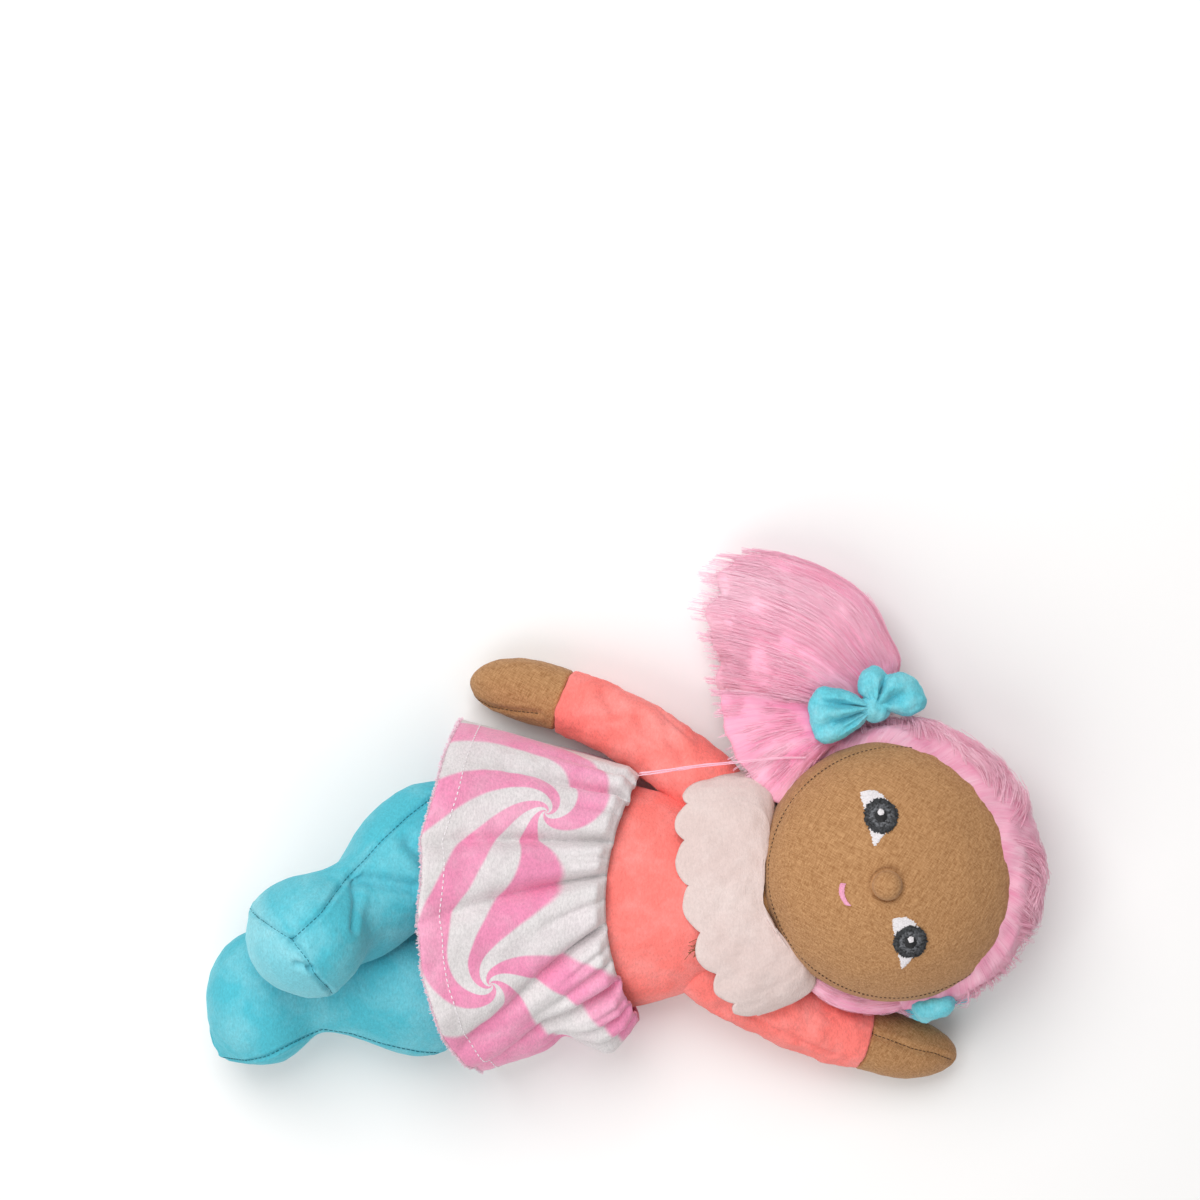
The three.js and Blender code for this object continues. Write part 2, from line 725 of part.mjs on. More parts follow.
ponytail('right', tailForm, onRight(rightTie), fanned, [ground, moved(armRoom.right, toHead)]);
ponytail('left', tuckedForm, onLeft(leftTie), tucked, [ground]);

doll.add(head);

export default doll;
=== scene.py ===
import math

import bmesh
import bpy
import numpy as np
from mathutils import Matrix, Vector, noise
from mathutils.bvhtree import BVHTree
from mathutils.kdtree import KDTree


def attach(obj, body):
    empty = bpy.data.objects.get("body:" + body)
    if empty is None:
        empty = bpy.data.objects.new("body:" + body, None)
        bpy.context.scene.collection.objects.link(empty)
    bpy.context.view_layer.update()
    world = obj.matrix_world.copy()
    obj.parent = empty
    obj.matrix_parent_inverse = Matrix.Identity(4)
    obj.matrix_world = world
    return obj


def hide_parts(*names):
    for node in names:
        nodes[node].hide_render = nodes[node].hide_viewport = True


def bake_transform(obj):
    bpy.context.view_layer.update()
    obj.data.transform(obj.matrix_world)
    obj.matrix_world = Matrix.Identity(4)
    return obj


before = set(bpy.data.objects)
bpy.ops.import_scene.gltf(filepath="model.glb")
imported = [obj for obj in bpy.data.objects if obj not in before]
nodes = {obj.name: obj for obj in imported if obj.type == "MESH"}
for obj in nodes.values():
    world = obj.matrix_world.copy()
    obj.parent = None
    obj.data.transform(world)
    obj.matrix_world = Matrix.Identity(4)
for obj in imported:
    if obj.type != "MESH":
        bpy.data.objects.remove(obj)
scene = bpy.context.scene
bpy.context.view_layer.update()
mm = 0.001
sides = ("right", "left")
sideSign = {"right": 1, "left": -1}


def linear(hexColour):
    channels = [int(hexColour[i:i + 2], 16) / 255 for i in (1, 3, 5)]
    return [c / 12.92 if c <= 0.04045 else ((c + 0.055) / 1.055) ** 2.4 for c in channels] + [1.0]


def addNode(tree, kind, settings=None, inputs=None):
    # settings by name, or an operation alone
    node = tree.nodes.new(kind)
    if isinstance(settings, str):
        settings = {"operation": settings}
    for key, value in (settings or {}).items():
        setattr(node, key, value)
    for key, value in (inputs or {}).items():
        if isinstance(value, bpy.types.Node):  # a node stands for its first output
            value = next(socket for socket in value.outputs if socket.enabled)
        if isinstance(value, bpy.types.NodeSocket):
            tree.links.new(value, node.inputs[key])
        else:
            node.inputs[key].default_value = value
    return node


def newMaterial(name):
    material = bpy.data.materials.new(name)
    material.use_nodes = True
    material.node_tree.nodes.clear()
    return material, material.node_tree


def finishMaterial(tree, inputs):
    shader = addNode(tree, "ShaderNodeBsdfPrincipled", inputs=inputs)
    addNode(tree, "ShaderNodeOutputMaterial", inputs={"Surface": shader})


# pinwheel print: swirls in pink and white that follow the flat cloth
def pinwheels(tree, look):
    flat = addNode(tree, "ShaderNodeUVMap", {"uv_map": "flatCloth"})
    phase = None
    for x, y, blades in look["wheels"]:
        arm = addNode(tree, "ShaderNodeVectorMath", "SUBTRACT", {0: flat, 1: (x * mm, y * mm, 0)})
        parts = addNode(tree, "ShaderNodeSeparateXYZ", inputs={0: arm}).outputs
        turn = addNode(tree, "ShaderNodeMath", "ARCTAN2", {0: parts["Y"], 1: parts["X"]})
        reach = addNode(tree, "ShaderNodeVectorMath", "LENGTH", {0: arm})
        twist = addNode(tree, "ShaderNodeMath", "LOGARITHM", {0: reach, 1: math.e})
        spiral = addNode(tree, "ShaderNodeMath", "MULTIPLY", {0: twist, 1: look["twist"]})
        swirl = addNode(tree, "ShaderNodeMath", "MULTIPLY_ADD", {0: turn, 1: blades, 2: spiral})
        if phase is not None:
            swirl = addNode(tree, "ShaderNodeMath", "ADD", {0: phase, 1: swirl})
        phase = swirl
    wave = addNode(tree, "ShaderNodeMath", "SINE", {0: phase})
    inked = addNode(tree, "ShaderNodeMapRange", {"interpolation_type": "SMOOTHSTEP"}, {
        "Value": wave, "From Min": -0.12, "From Max": 0.24})
    return addNode(tree, "ShaderNodeMix", {"data_type": "RGBA"}, {
        "Factor": inked, "A": linear(look["white"]), "B": linear(look["pink"])})


# velour: knitted cloth with a short brushed pile; the pile lies in patches that catch the light,
# is painted paler by an attribute on the mesh, partly where the pile is brushed up and partly as painted light,
# and shows a fine grain
def velour(name, look):
    material, tree = newMaterial(name)
    base = pinwheels(tree, look) if "wheels" in look else linear(look["base"])
    where = addNode(tree, "ShaderNodeTexCoord").outputs["Object"]
    patches = addNode(tree, "ShaderNodeTexNoise", inputs={
        "Vector": where, "Scale": 1 / (look["patch"] * mm), "Detail": 4.0, "Roughness": 0.65, "Distortion": 0.3})
    brushed = addNode(tree, "ShaderNodeMapRange", inputs={
        "Value": patches, "From Min": 0.42, "From Max": 0.72, "To Max": look["brushing"]})
    napAndPaintedLight = addNode(tree, "ShaderNodeAttribute", {"attribute_name": "napAndPaintedLight"})
    lifted = addNode(tree, "ShaderNodeMath", {"operation": "ADD", "use_clamp": True}, {
        0: brushed, 1: napAndPaintedLight.outputs["Fac"]})
    drawn = addNode(tree, "ShaderNodeVectorMath", "MULTIPLY", {0: where, 1: look["lie"]})
    grain = addNode(tree, "ShaderNodeTexNoise", inputs={
        "Vector": drawn, "Scale": 1 / (look["pile"] * mm), "Detail": 3.0, "Roughness": 0.75})
    shade = addNode(tree, "ShaderNodeMapRange", inputs={
        "Value": grain, "From Min": 0.3, "From Max": 0.7, "To Min": look["grainDark"], "To Max": 1.08})
    paler = addNode(tree, "ShaderNodeMix", {"data_type": "RGBA"}, {
        "Factor": lifted, "A": base, "B": linear(look["pale"])})
    grained = addNode(tree, "ShaderNodeVectorMath", "SCALE", {0: paler, "Scale": shade})
    bump = addNode(tree, "ShaderNodeBump", inputs={
        "Height": grain, "Strength": look["bump"], "Distance": 0.35 * mm})
    finishMaterial(tree, {
        "Base Color": grained, "Normal": bump, "Roughness": 0.92, "Specular IOR Level": 0.2,
        "Sheen Weight": look["sheen"], "Sheen Roughness": look["sheenSpread"],
        "Sheen Tint": linear(look.get("sheenTint", look["pale"]))})
    return material


velourLook = {
    "patch": 20, "pile": 0.7, "lie": (1.0, 0.5, 0.7), "brushing": 0.5, "grainDark": 0.8, "bump": 0.6,
    "sheen": 0.7, "sheenSpread": 0.35}
coralVelour = velour("coralVelour", {**velourLook, "base": "#FF827A", "pale": "#FFB0AC"})
turquoiseVelour = velour("turquoiseVelour", {
    **velourLook, "base": "#53BDCE", "pale": "#A4DEE7", "brushing": 0.4, "sheen": 0.55})
bowVelour = velour("bowVelour", {**velourLook, "base": "#66C6D5", "pale": "#A6E1E9", "patch": 8})
creamVelour = velour("creamVelour", {
    **velourLook, "base": "#D9C4BF", "pale": "#E6D8D4", "sheen": 0.3, "grainDark": 0.93})
# wheels: middle of each on the flat cloth in mm, then its blades; two neighbours turn against each other
skirtVelour = velour("pinwheelVelour", {
    **velourLook, "wheels": [(60, 30, 4.0), (136, 50, -4.0), (224, 28, 4.0), (306, 46, -4.0)], "twist": 3.4,
    "white": "#DFDADA", "pink": "#EE93B8", "pale": "#F0DDE4", "brushing": 0.3, "sheen": 0.3, "sheenSpread": 0.45,
    "sheenTint": "#FFFFFF"})


# woven cotton: two sets of uneven threads that cross, seen as a fine slanting grain;
# the threads are drawn a little coarser than real ones so that the weave shows
def wovenCotton(name, look):
    material, tree = newMaterial(name)
    where = addNode(tree, "ShaderNodeTexCoord").outputs["Object"]
    square = addNode(tree, "ShaderNodeMapping", inputs={"Vector": where, "Rotation": (0.35, 0.25, look["turn"])})
    weave = []
    for thin, long in ((0, 1), (1, 0)):
        stretch = [1 / (look["thread"] * 2 * mm)] * 3
        stretch[thin], stretch[long] = 1 / (look["thread"] * mm), 1 / (look["float"] * mm)
        drawn = addNode(tree, "ShaderNodeVectorMath", "MULTIPLY", {0: square, 1: stretch})
        weave.append(addNode(tree, "ShaderNodeTexNoise", inputs={"Vector": drawn, "Scale": 1.0, "Detail": 1.0}))
    crossed = addNode(tree, "ShaderNodeMath", "ADD", {0: weave[0], 1: weave[1]})
    slubs = addNode(tree, "ShaderNodeTexNoise", inputs={
        "Vector": where, "Scale": 1 / (1.3 * mm), "Detail": 3.0, "Roughness": 0.7})
    uneven = addNode(tree, "ShaderNodeMath", "MULTIPLY_ADD", {0: slubs, 1: 0.15, 2: crossed})
    tint = addNode(tree, "ShaderNodeMapRange", inputs={"Value": uneven, "From Min": 0.75, "From Max": 1.4})
    colour = addNode(tree, "ShaderNodeMix", {"data_type": "RGBA"}, {
        "Factor": tint, "A": linear(look["dark"]), "B": linear(look["light"])})
    bump = addNode(tree, "ShaderNodeBump", inputs={"Height": uneven, "Strength": 0.6, "Distance": 0.25 * mm})
    finishMaterial(tree, {
        "Base Color": colour, "Normal": bump, "Roughness": 0.85,
        "Specular IOR Level": 0.25, "Sheen Weight": 0.12, "Sheen Roughness": 0.5})
    return material


brownCotton = wovenCotton("brownTwill", {
    "thread": 0.4, "float": 3.0, "turn": 0.6, "dark": "#986A40", "light": "#C09265"})


# plush: long soft acrylic fibres, each strand of its own tone, paler towards the tip
def plushStrands(name, look):
    material, tree = newMaterial(name)
    tone = addNode(tree, "ShaderNodeAttribute", {"attribute_name": "tone"})
    along = addNode(tree, "ShaderNodeAttribute", {"attribute_name": "along"})
    # each strand is painted deeper towards its root: painted shade where it lies under the other fibres
    shade = addNode(tree, "ShaderNodeMath", "MULTIPLY_ADD", {
        0: along.outputs["Fac"], 1: 0.2, 2: tone.outputs["Fac"]})
    fade = addNode(tree, "ShaderNodeMapRange", inputs={"Value": shade, "From Min": 0.0, "From Max": 1.1})
    colour = addNode(tree, "ShaderNodeMix", {"data_type": "RGBA"}, {
        "Factor": fade, "A": linear(look["root"]), "B": linear(look["tip"])})
    finishMaterial(tree, {
        "Base Color": colour, "Roughness": 0.7, "Specular IOR Level": 0.25,
        "Sheen Weight": 0.6, "Sheen Roughness": 0.4, "Sheen Tint": linear(look["tip"])})
    return material


pinkPlush = plushStrands("pinkPlushFibre", {"root": "#EE92B5", "tip": "#FADCE7"})
woollyPlush = plushStrands("woollyPlushFibre", {"root": "#E299B3", "tip": "#F4D7E0"})


# combed plush: fibres laid side by side along the "combing" map, soft fine streaks in broader locks,
# paler or deeper by "tone" on the mesh; on the hair fans it rises from roots to tips, the deeper roots being
# painted shade
def combedPlush(name, look):
    material, tree = newMaterial(name)
    lie = addNode(tree, "ShaderNodeUVMap", {"uv_map": "combing"})
    streaks = []
    for across, along in look["streaks"]:
        drawn = addNode(tree, "ShaderNodeVectorMath", "MULTIPLY", {
            0: lie, 1: (1 / (across * mm), 1 / (along * mm), 1)})
        streaks.append(addNode(tree, "ShaderNodeTexNoise", inputs={
            "Vector": drawn, "Scale": 1.0, "Detail": 2.0, "Distortion": 0.2}))
    both = addNode(tree, "ShaderNodeMath", "MULTIPLY_ADD", {0: streaks[0], 1: 0.6, 2: streaks[1]})
    tone = addNode(tree, "ShaderNodeAttribute", {"attribute_name": "tone"})
    shade = addNode(tree, "ShaderNodeMath", "MULTIPLY_ADD", {0: both, 1: look["streak"], 2: tone.outputs["Fac"]})
    tint = addNode(tree, "ShaderNodeMapRange", inputs={
        "Value": shade, "From Min": 0.8 * look["streak"] - 0.05, "From Max": 0.8 * look["streak"] + 0.95})
    colour = addNode(tree, "ShaderNodeMix", {"data_type": "RGBA"}, {
        "Factor": tint, "A": linear(look["deep"]), "B": linear(look["high"])})
    bump = addNode(tree, "ShaderNodeBump", inputs={
        "Height": both, "Strength": look["bump"], "Distance": 0.7 * mm})
    finishMaterial(tree, {
        "Base Color": colour, "Normal": bump, "Roughness": 0.75, "Specular IOR Level": 0.25,
        "Sheen Weight": 0.6, "Sheen Roughness": 0.4, "Sheen Tint": linear(look["high"])})
    return material


# streaks: width and length in mm of the fine fibres, then of the locks
plushBacking = combedPlush("combedPlush", {
    "streaks": [(0.6, 24), (5, 45)], "streak": 0.6, "bump": 0.5, "deep": "#EE8DB2", "high": "#FBDDE8"})
capPlush = combedPlush("capPlush", {
    "streaks": [(0.7, 6), (4, 9)], "streak": 0.8, "bump": 0.9, "deep": "#E08EAB", "high": "#F4D4DE"})
hemPile = plushStrands("hemPile", {"root": "#EFC9D8", "tip": "#F6EEF0"})


# thread: twisted filament, smooth and a little glossy; fine turns show as a light ripple,
# and as flecks where dark threads catch the light
def sewingThread(name, colourHex, roughness, ripple):
    material, tree = newMaterial(name)
    where = addNode(tree, "ShaderNodeTexCoord").outputs["Object"]
    twist = addNode(tree, "ShaderNodeTexNoise", inputs={
        "Vector": where, "Scale": 1 / (ripple[2] * mm), "Detail": 1.0})
    shade = addNode(tree, "ShaderNodeMapRange", inputs={
        "Value": twist, "From Min": 0.3, "From Max": 0.7, "To Min": ripple[0], "To Max": ripple[1]})
    colour = addNode(tree, "ShaderNodeVectorMath", "SCALE", {0: linear(colourHex)[:3], "Scale": shade})
    finishMaterial(tree, {"Base Color": colour, "Roughness": roughness, "Specular IOR Level": 0.4})
    return material


threadColours = {
    "white": "#E6E1E3", "slate": "#242527", "grey": "#4C4D50", "black": "#121214", "rose": "#EBA3C0",
    "seamBrown": "#4A3320", "seamTeal": "#14707F", "looseBrown": "#80572F", "hemWhite": "#F3EEF0"}
plainRipple = (0.82, 1.05, 0.5)  # darkest, brightest, and size in mm
flecked = {"slate": (0.1, 3.4, 0.9), "grey": (0.15, 2.4, 0.9)}
threads = {
    key: sewingThread(key + "Thread", colourHex, roughness=0.45, ripple=flecked.get(key, plainRipple))
    for key, colourHex in threadColours.items()}
tieElastic = sewingThread("tieElastic", "#E9B9CC", roughness=0.8, ripple=plainRipple)
print("materials made")


# mesh helpers, all in millimetres
def inScene(name, data):
    obj = bpy.data.objects.new(name, data)
    scene.collection.objects.link(obj)
    return obj


def smoothed(obj):
    obj.data.polygons.foreach_set("use_smooth", [True] * len(obj.data.polygons))
    return obj


def meshOf(name, verts, faces, material):
    mesh = bpy.data.meshes.new(name)
    mesh.from_pydata((np.asarray(verts, float) * mm).tolist(), [], [list(f) for f in faces])
    mesh.materials.append(material)
    return smoothed(inScene(name, mesh))


def circle(count):
    return 2 * np.pi * np.arange(count) / count


def perVertex(obj, field):
    values = np.zeros(len(obj.data.vertices) * 3)
    obj.data.vertices.foreach_get(field, values)
    return values.reshape(-1, 3)


def coordsOf(obj):
    return perVertex(obj, "co") / mm


def normalsOf(obj):
    return perVertex(obj, "normal")


def setCoords(obj, coords):
    obj.data.vertices.foreach_set("co", (coords * mm).ravel())
    obj.data.update()


def applyModifiers(obj):
    evaluated = obj.evaluated_get(bpy.context.evaluated_depsgraph_get())
    mesh = bpy.data.meshes.new_from_object(evaluated)
    obj.modifiers.clear()
    obj.data = mesh
    return obj


def subdivided(obj, levels=1):
    modifier = obj.modifiers.new("Subdivision", "SUBSURF")
    modifier.levels = modifier.render_levels = levels
    return applyModifiers(obj)


def gridFaces(rows, columns, closed=True):
    faces = []
    across = columns if closed else columns - 1
    for i in range(rows - 1):
        for j in range(across):
            k = (j + 1) % columns
            faces.append((i * columns + j, i * columns + k, (i + 1) * columns + k, (i + 1) * columns + j))
    return faces


def mapped(obj, layerName, around, size, slant=0.0):
    # lays a flat map on a grid piece, rows along and columns across by their real spacing;
    # the last column joins the first
    layer = obj.data.uv_layers.new(name=layerName)
    rows = len(obj.data.vertices) // around
    middle = coordsOf(obj)[rows * 6 // 10 * around:][:around]
    steps = np.linalg.norm(np.roll(middle, -1, 0) - middle, axis=1)
    share = np.concatenate([[0], np.cumsum(steps)]) / steps.sum()
    share = np.concatenate([share, 1 + share[1:4]])
    for polygon in obj.data.polygons:
        columns = [v % around for v in polygon.vertices]
        for loop, v in zip(polygon.loop_indices, polygon.vertices):
            column, row = v % around, v // around / (rows - 1)
            if max(columns) - min(columns) > 2 and column < 3:
                column += around
            layer.data[loop].uv = ((share[column] + slant * row) * size[0], row * size[1])
    return obj


def toned(obj, values):
    tone = obj.data.attributes.new("tone", "FLOAT", "POINT")
    tone.data.foreach_set("value", np.asarray(values, float))
    return obj


def outwards(obj):
    bm = bmesh.new()
    bm.from_mesh(obj.data)
    bmesh.ops.remove_doubles(bm, verts=bm.verts, dist=1e-6)
    bmesh.ops.recalc_face_normals(bm, faces=bm.faces)
    bm.to_mesh(obj.data)
    bm.free()
    obj.data.update()
    return obj


def eased(values, t):
    # smooth run through evenly spaced values
    values = np.asarray(values, float)
    t = np.clip(np.asarray(t, float), 0, 1) * (len(values) - 1)
    i = np.clip(t.astype(int), 0, len(values) - 2)
    f = t - i
    padded = np.concatenate([[2 * values[0] - values[1]], values, [2 * values[-1] - values[-2]]])
    a, b, c, d = padded[i], padded[i + 1], padded[i + 2], padded[i + 3]
    return 0.5 * (2 * b + (c - a) * f + (2 * a - 5 * b + 4 * c - d) * f ** 2 + (3 * b - a - 3 * c + d) * f ** 3)


def stuffedForm(form, step=2.6, grow=0.0):
    # rings along X with rounded ends, as loops of points
    length = form["to"] - form["from"] + 2 * grow
    count = max(10, int(1.25 * length / step))
    around = max(16, int(math.pi * max(form["widths"]) / step))
    stations = 0.5 - 0.5 * np.cos(np.pi * np.arange(1, count) / count)
    stations = 0.55 * stations + 0.45 * np.arange(1, count) / count
    turn = circle(around)
    rows = []
    for s in stations * length:
        t = (s - grow) / (form["to"] - form["from"])
        ends = 1.0
        for near, reach in ((s, form["roundFrom"] + grow), (length - s, form["roundTo"] + grow)):
            if near < reach:
                ends *= math.sqrt(max(0.0, 1 - (1 - near / reach) ** 2))
        width = (eased(form["widths"], t) / 2 + grow) * ends
        depth = (eased(form["depths"], t) / 2 + grow) * ends
        x = np.full(around, form["from"] - grow + s)
        rows.append(np.stack([x, width * np.cos(turn), depth * np.sin(turn)], 1))
    tips = [[form["from"] - grow, 0, 0], [form["from"] - grow + length, 0, 0]]
    verts = np.concatenate(rows + [np.array(tips, float)])
    faces = gridFaces(len(rows), around)
    first, last = len(verts) - 2, len(verts) - 1
    end = (len(rows) - 1) * around
    for j in range(around):
        k = (j + 1) % around
        faces.append((first, k, j))
        faces.append((last, end + j, end + k))
    return verts, faces


def bentForm(verts, angle, length):
    if not angle:
        return verts
    radius = length / math.radians(angle)
    ahead = verts[:, 0] > 0
    reach = radius - verts[:, 1]
    x = np.where(ahead, reach * np.sin(verts[:, 0] / radius), verts[:, 0])
    y = np.where(ahead, radius - reach * np.cos(verts[:, 0] / radius), verts[:, 1])
    return np.stack([x, y, verts[:, 2]], 1)


def placedAt(verts, matrix):
    turn = np.array(matrix.to_3x3())
    return np.asarray(verts, float) @ turn.T + np.array(matrix.translation)


def headingMatrix(place, heading, pitch):
    turn = Matrix.Rotation(math.radians(heading), 4, "Z") @ Matrix.Rotation(math.radians(pitch), 4, "Y")
    return Matrix.Translation(place) @ turn


puckerLook = {"increment": 0.9, "lacunarity": 2.0, "octaves": 3, "seedStep": (7.3, 3.1, 5.7)}


def puckers(points, size, seed):
    increment, lacunarity, octaves, seedStep = puckerLook.values()
    shift = Vector([seed * step for step in seedStep])
    return np.array([noise.fractal(Vector(p) / size + shift, increment, lacunarity, octaves) for p in points])


def wrinkled(obj, size, depth, seed):
    # soft uneven puckers along the normals
    coords, normals = coordsOf(obj), normalsOf(obj)
    setCoords(obj, coords + normals * (depth * puckers(coords, size, seed))[:, None])
    return obj


def resampled(points, step):
    points = np.asarray(points, float)
    lengths = np.linalg.norm(np.diff(points, axis=0), axis=1)
    total = np.concatenate([[0], np.cumsum(lengths)])
    at = np.linspace(0, total[-1], max(2, int(total[-1] / step) + 1))
    return np.stack([np.interp(at, total, points[:, k]) for k in range(3)], 1)


def dropped(obj, flatPoints, step=0.6, lift=0.0):
    # points given from above, set down on the piece
    tree = BVHTree.FromPolygons([Vector(p) for p in coordsOf(obj)], [list(f.vertices) for f in obj.data.polygons])
    spaced = resampled([(x, y, 0) for x, y in flatPoints], step)
    found = []
    for x, y, _ in spaced:
        hit, normal, _, _ = tree.ray_cast(Vector((x, y, 300)), Vector((0, 0, -1)))
        if hit is not None:
            found.append(hit + normal * lift)
    return np.array(found)


def carved(obj, line, width, depth, ridge):
    # presses a sewn line into the cloth, with a slight swell beside it
    tree = KDTree(len(line))
    for i, p in enumerate(line):
        tree.insert(Vector(p), i)
    tree.balance()
    coords, normals = coordsOf(obj), normalsOf(obj)
    near = np.array([tree.find(Vector(p))[2] for p in coords])
    move = ridge * np.exp(-((near - 2.2 * width) / width) ** 2) - depth * np.exp(-(near / width) ** 2)
    setCoords(obj, coords + normals * move[:, None])
    return obj


def pulled(obj, moves):
    # draws the cloth out or in around a place
    coords = coordsOf(obj)
    for place, reach, shift in moves:
        near = np.linalg.norm(coords - np.array(place), axis=1)
        coords = coords + np.exp(-(near / reach) ** 2)[:, None] * np.array(shift, float)
    setCoords(obj, coords)
    return obj


stuffingLook = {"frames": 20, "quality": 5, "mass": 0.2, "stiffness": 10, "bending": 0.2, "pressure": 4.0}


def inflated(cases):
    # stuffing pushes every case out together; how far a point may go is capped
    for obj, look in cases:
        setCoords(obj, coordsOf(obj) - normalsOf(obj) * look["slack"])
        cloth = obj.modifiers.new("Stuffing", "CLOTH")
        fabric = cloth.settings
        fabric.quality, fabric.mass = stuffingLook["quality"], stuffingLook["mass"]
        fabric.tension_stiffness = fabric.compression_stiffness = stuffingLook["stiffness"]
        fabric.bending_stiffness = stuffingLook["bending"]
        fabric.use_pressure = True
        fabric.uniform_pressure_force = stuffingLook["pressure"]
        fabric.effector_weights.gravity = 0
        cloth.collision_settings.use_collision = False
        cloth.point_cache.frame_start, cloth.point_cache.frame_end = 1, stuffingLook["frames"]
    for step in range(1, stuffingLook["frames"] + 1):
        scene.frame_set(step)
    for obj, look in cases:
        start = coordsOf(obj)
        move = coordsOf(applyModifiers(obj)) - start
        far = np.linalg.norm(move, axis=1)
        setCoords(obj, start + move * np.minimum(1, look["cap"] / np.maximum(far, 1e-6))[:, None])
    scene.frame_set(1)


# Geometry Nodes: threads along drawn lines, and soft strands that follow combed guides
def newTree(name, inputs):
    tree = bpy.data.node_groups.new(name, "GeometryNodeTree")
    tree.interface.new_socket(name="Geometry", in_out="OUTPUT", socket_type="NodeSocketGeometry")
    tree.interface.new_socket(name="Geometry", in_out="INPUT", socket_type="NodeSocketGeometry")
    for label, kind in inputs:
        tree.interface.new_socket(name=label, in_out="INPUT", socket_type=kind)
    return tree, addNode(tree, "NodeGroupInput").outputs


def endTree(tree, geometry, material):
    whole = addNode(tree, "GeometryNodeRealizeInstances", inputs={"Geometry": geometry})
    coloured = addNode(tree, "GeometryNodeSetMaterial", inputs={"Geometry": whole, "Material": material})
    addNode(tree, "NodeGroupOutput", inputs={"Geometry": coloured})


def threadTree():
    tree, given = newTree("threadLines", [
        ("Thickness", "NodeSocketFloat"), ("Material", "NodeSocketMaterial")])
    lines = addNode(tree, "GeometryNodeMeshToCurve", inputs={"Mesh": given["Geometry"]})
    ropeRound = addNode(tree, "GeometryNodeCurvePrimitiveCircle", inputs={
        "Resolution": 6, "Radius": given["Thickness"]})
    tubes = addNode(tree, "GeometryNodeCurveToMesh", inputs={
        "Curve": lines, "Profile Curve": ropeRound, "Fill Caps": True})
    endTree(tree, tubes, given["Material"])
    return tree


strandLook = {"atRoot": 0.4, "apart": 0.02, "wave": 7, "toneSpread": 0.25, "roll": 1.2, "taper": 0.8}


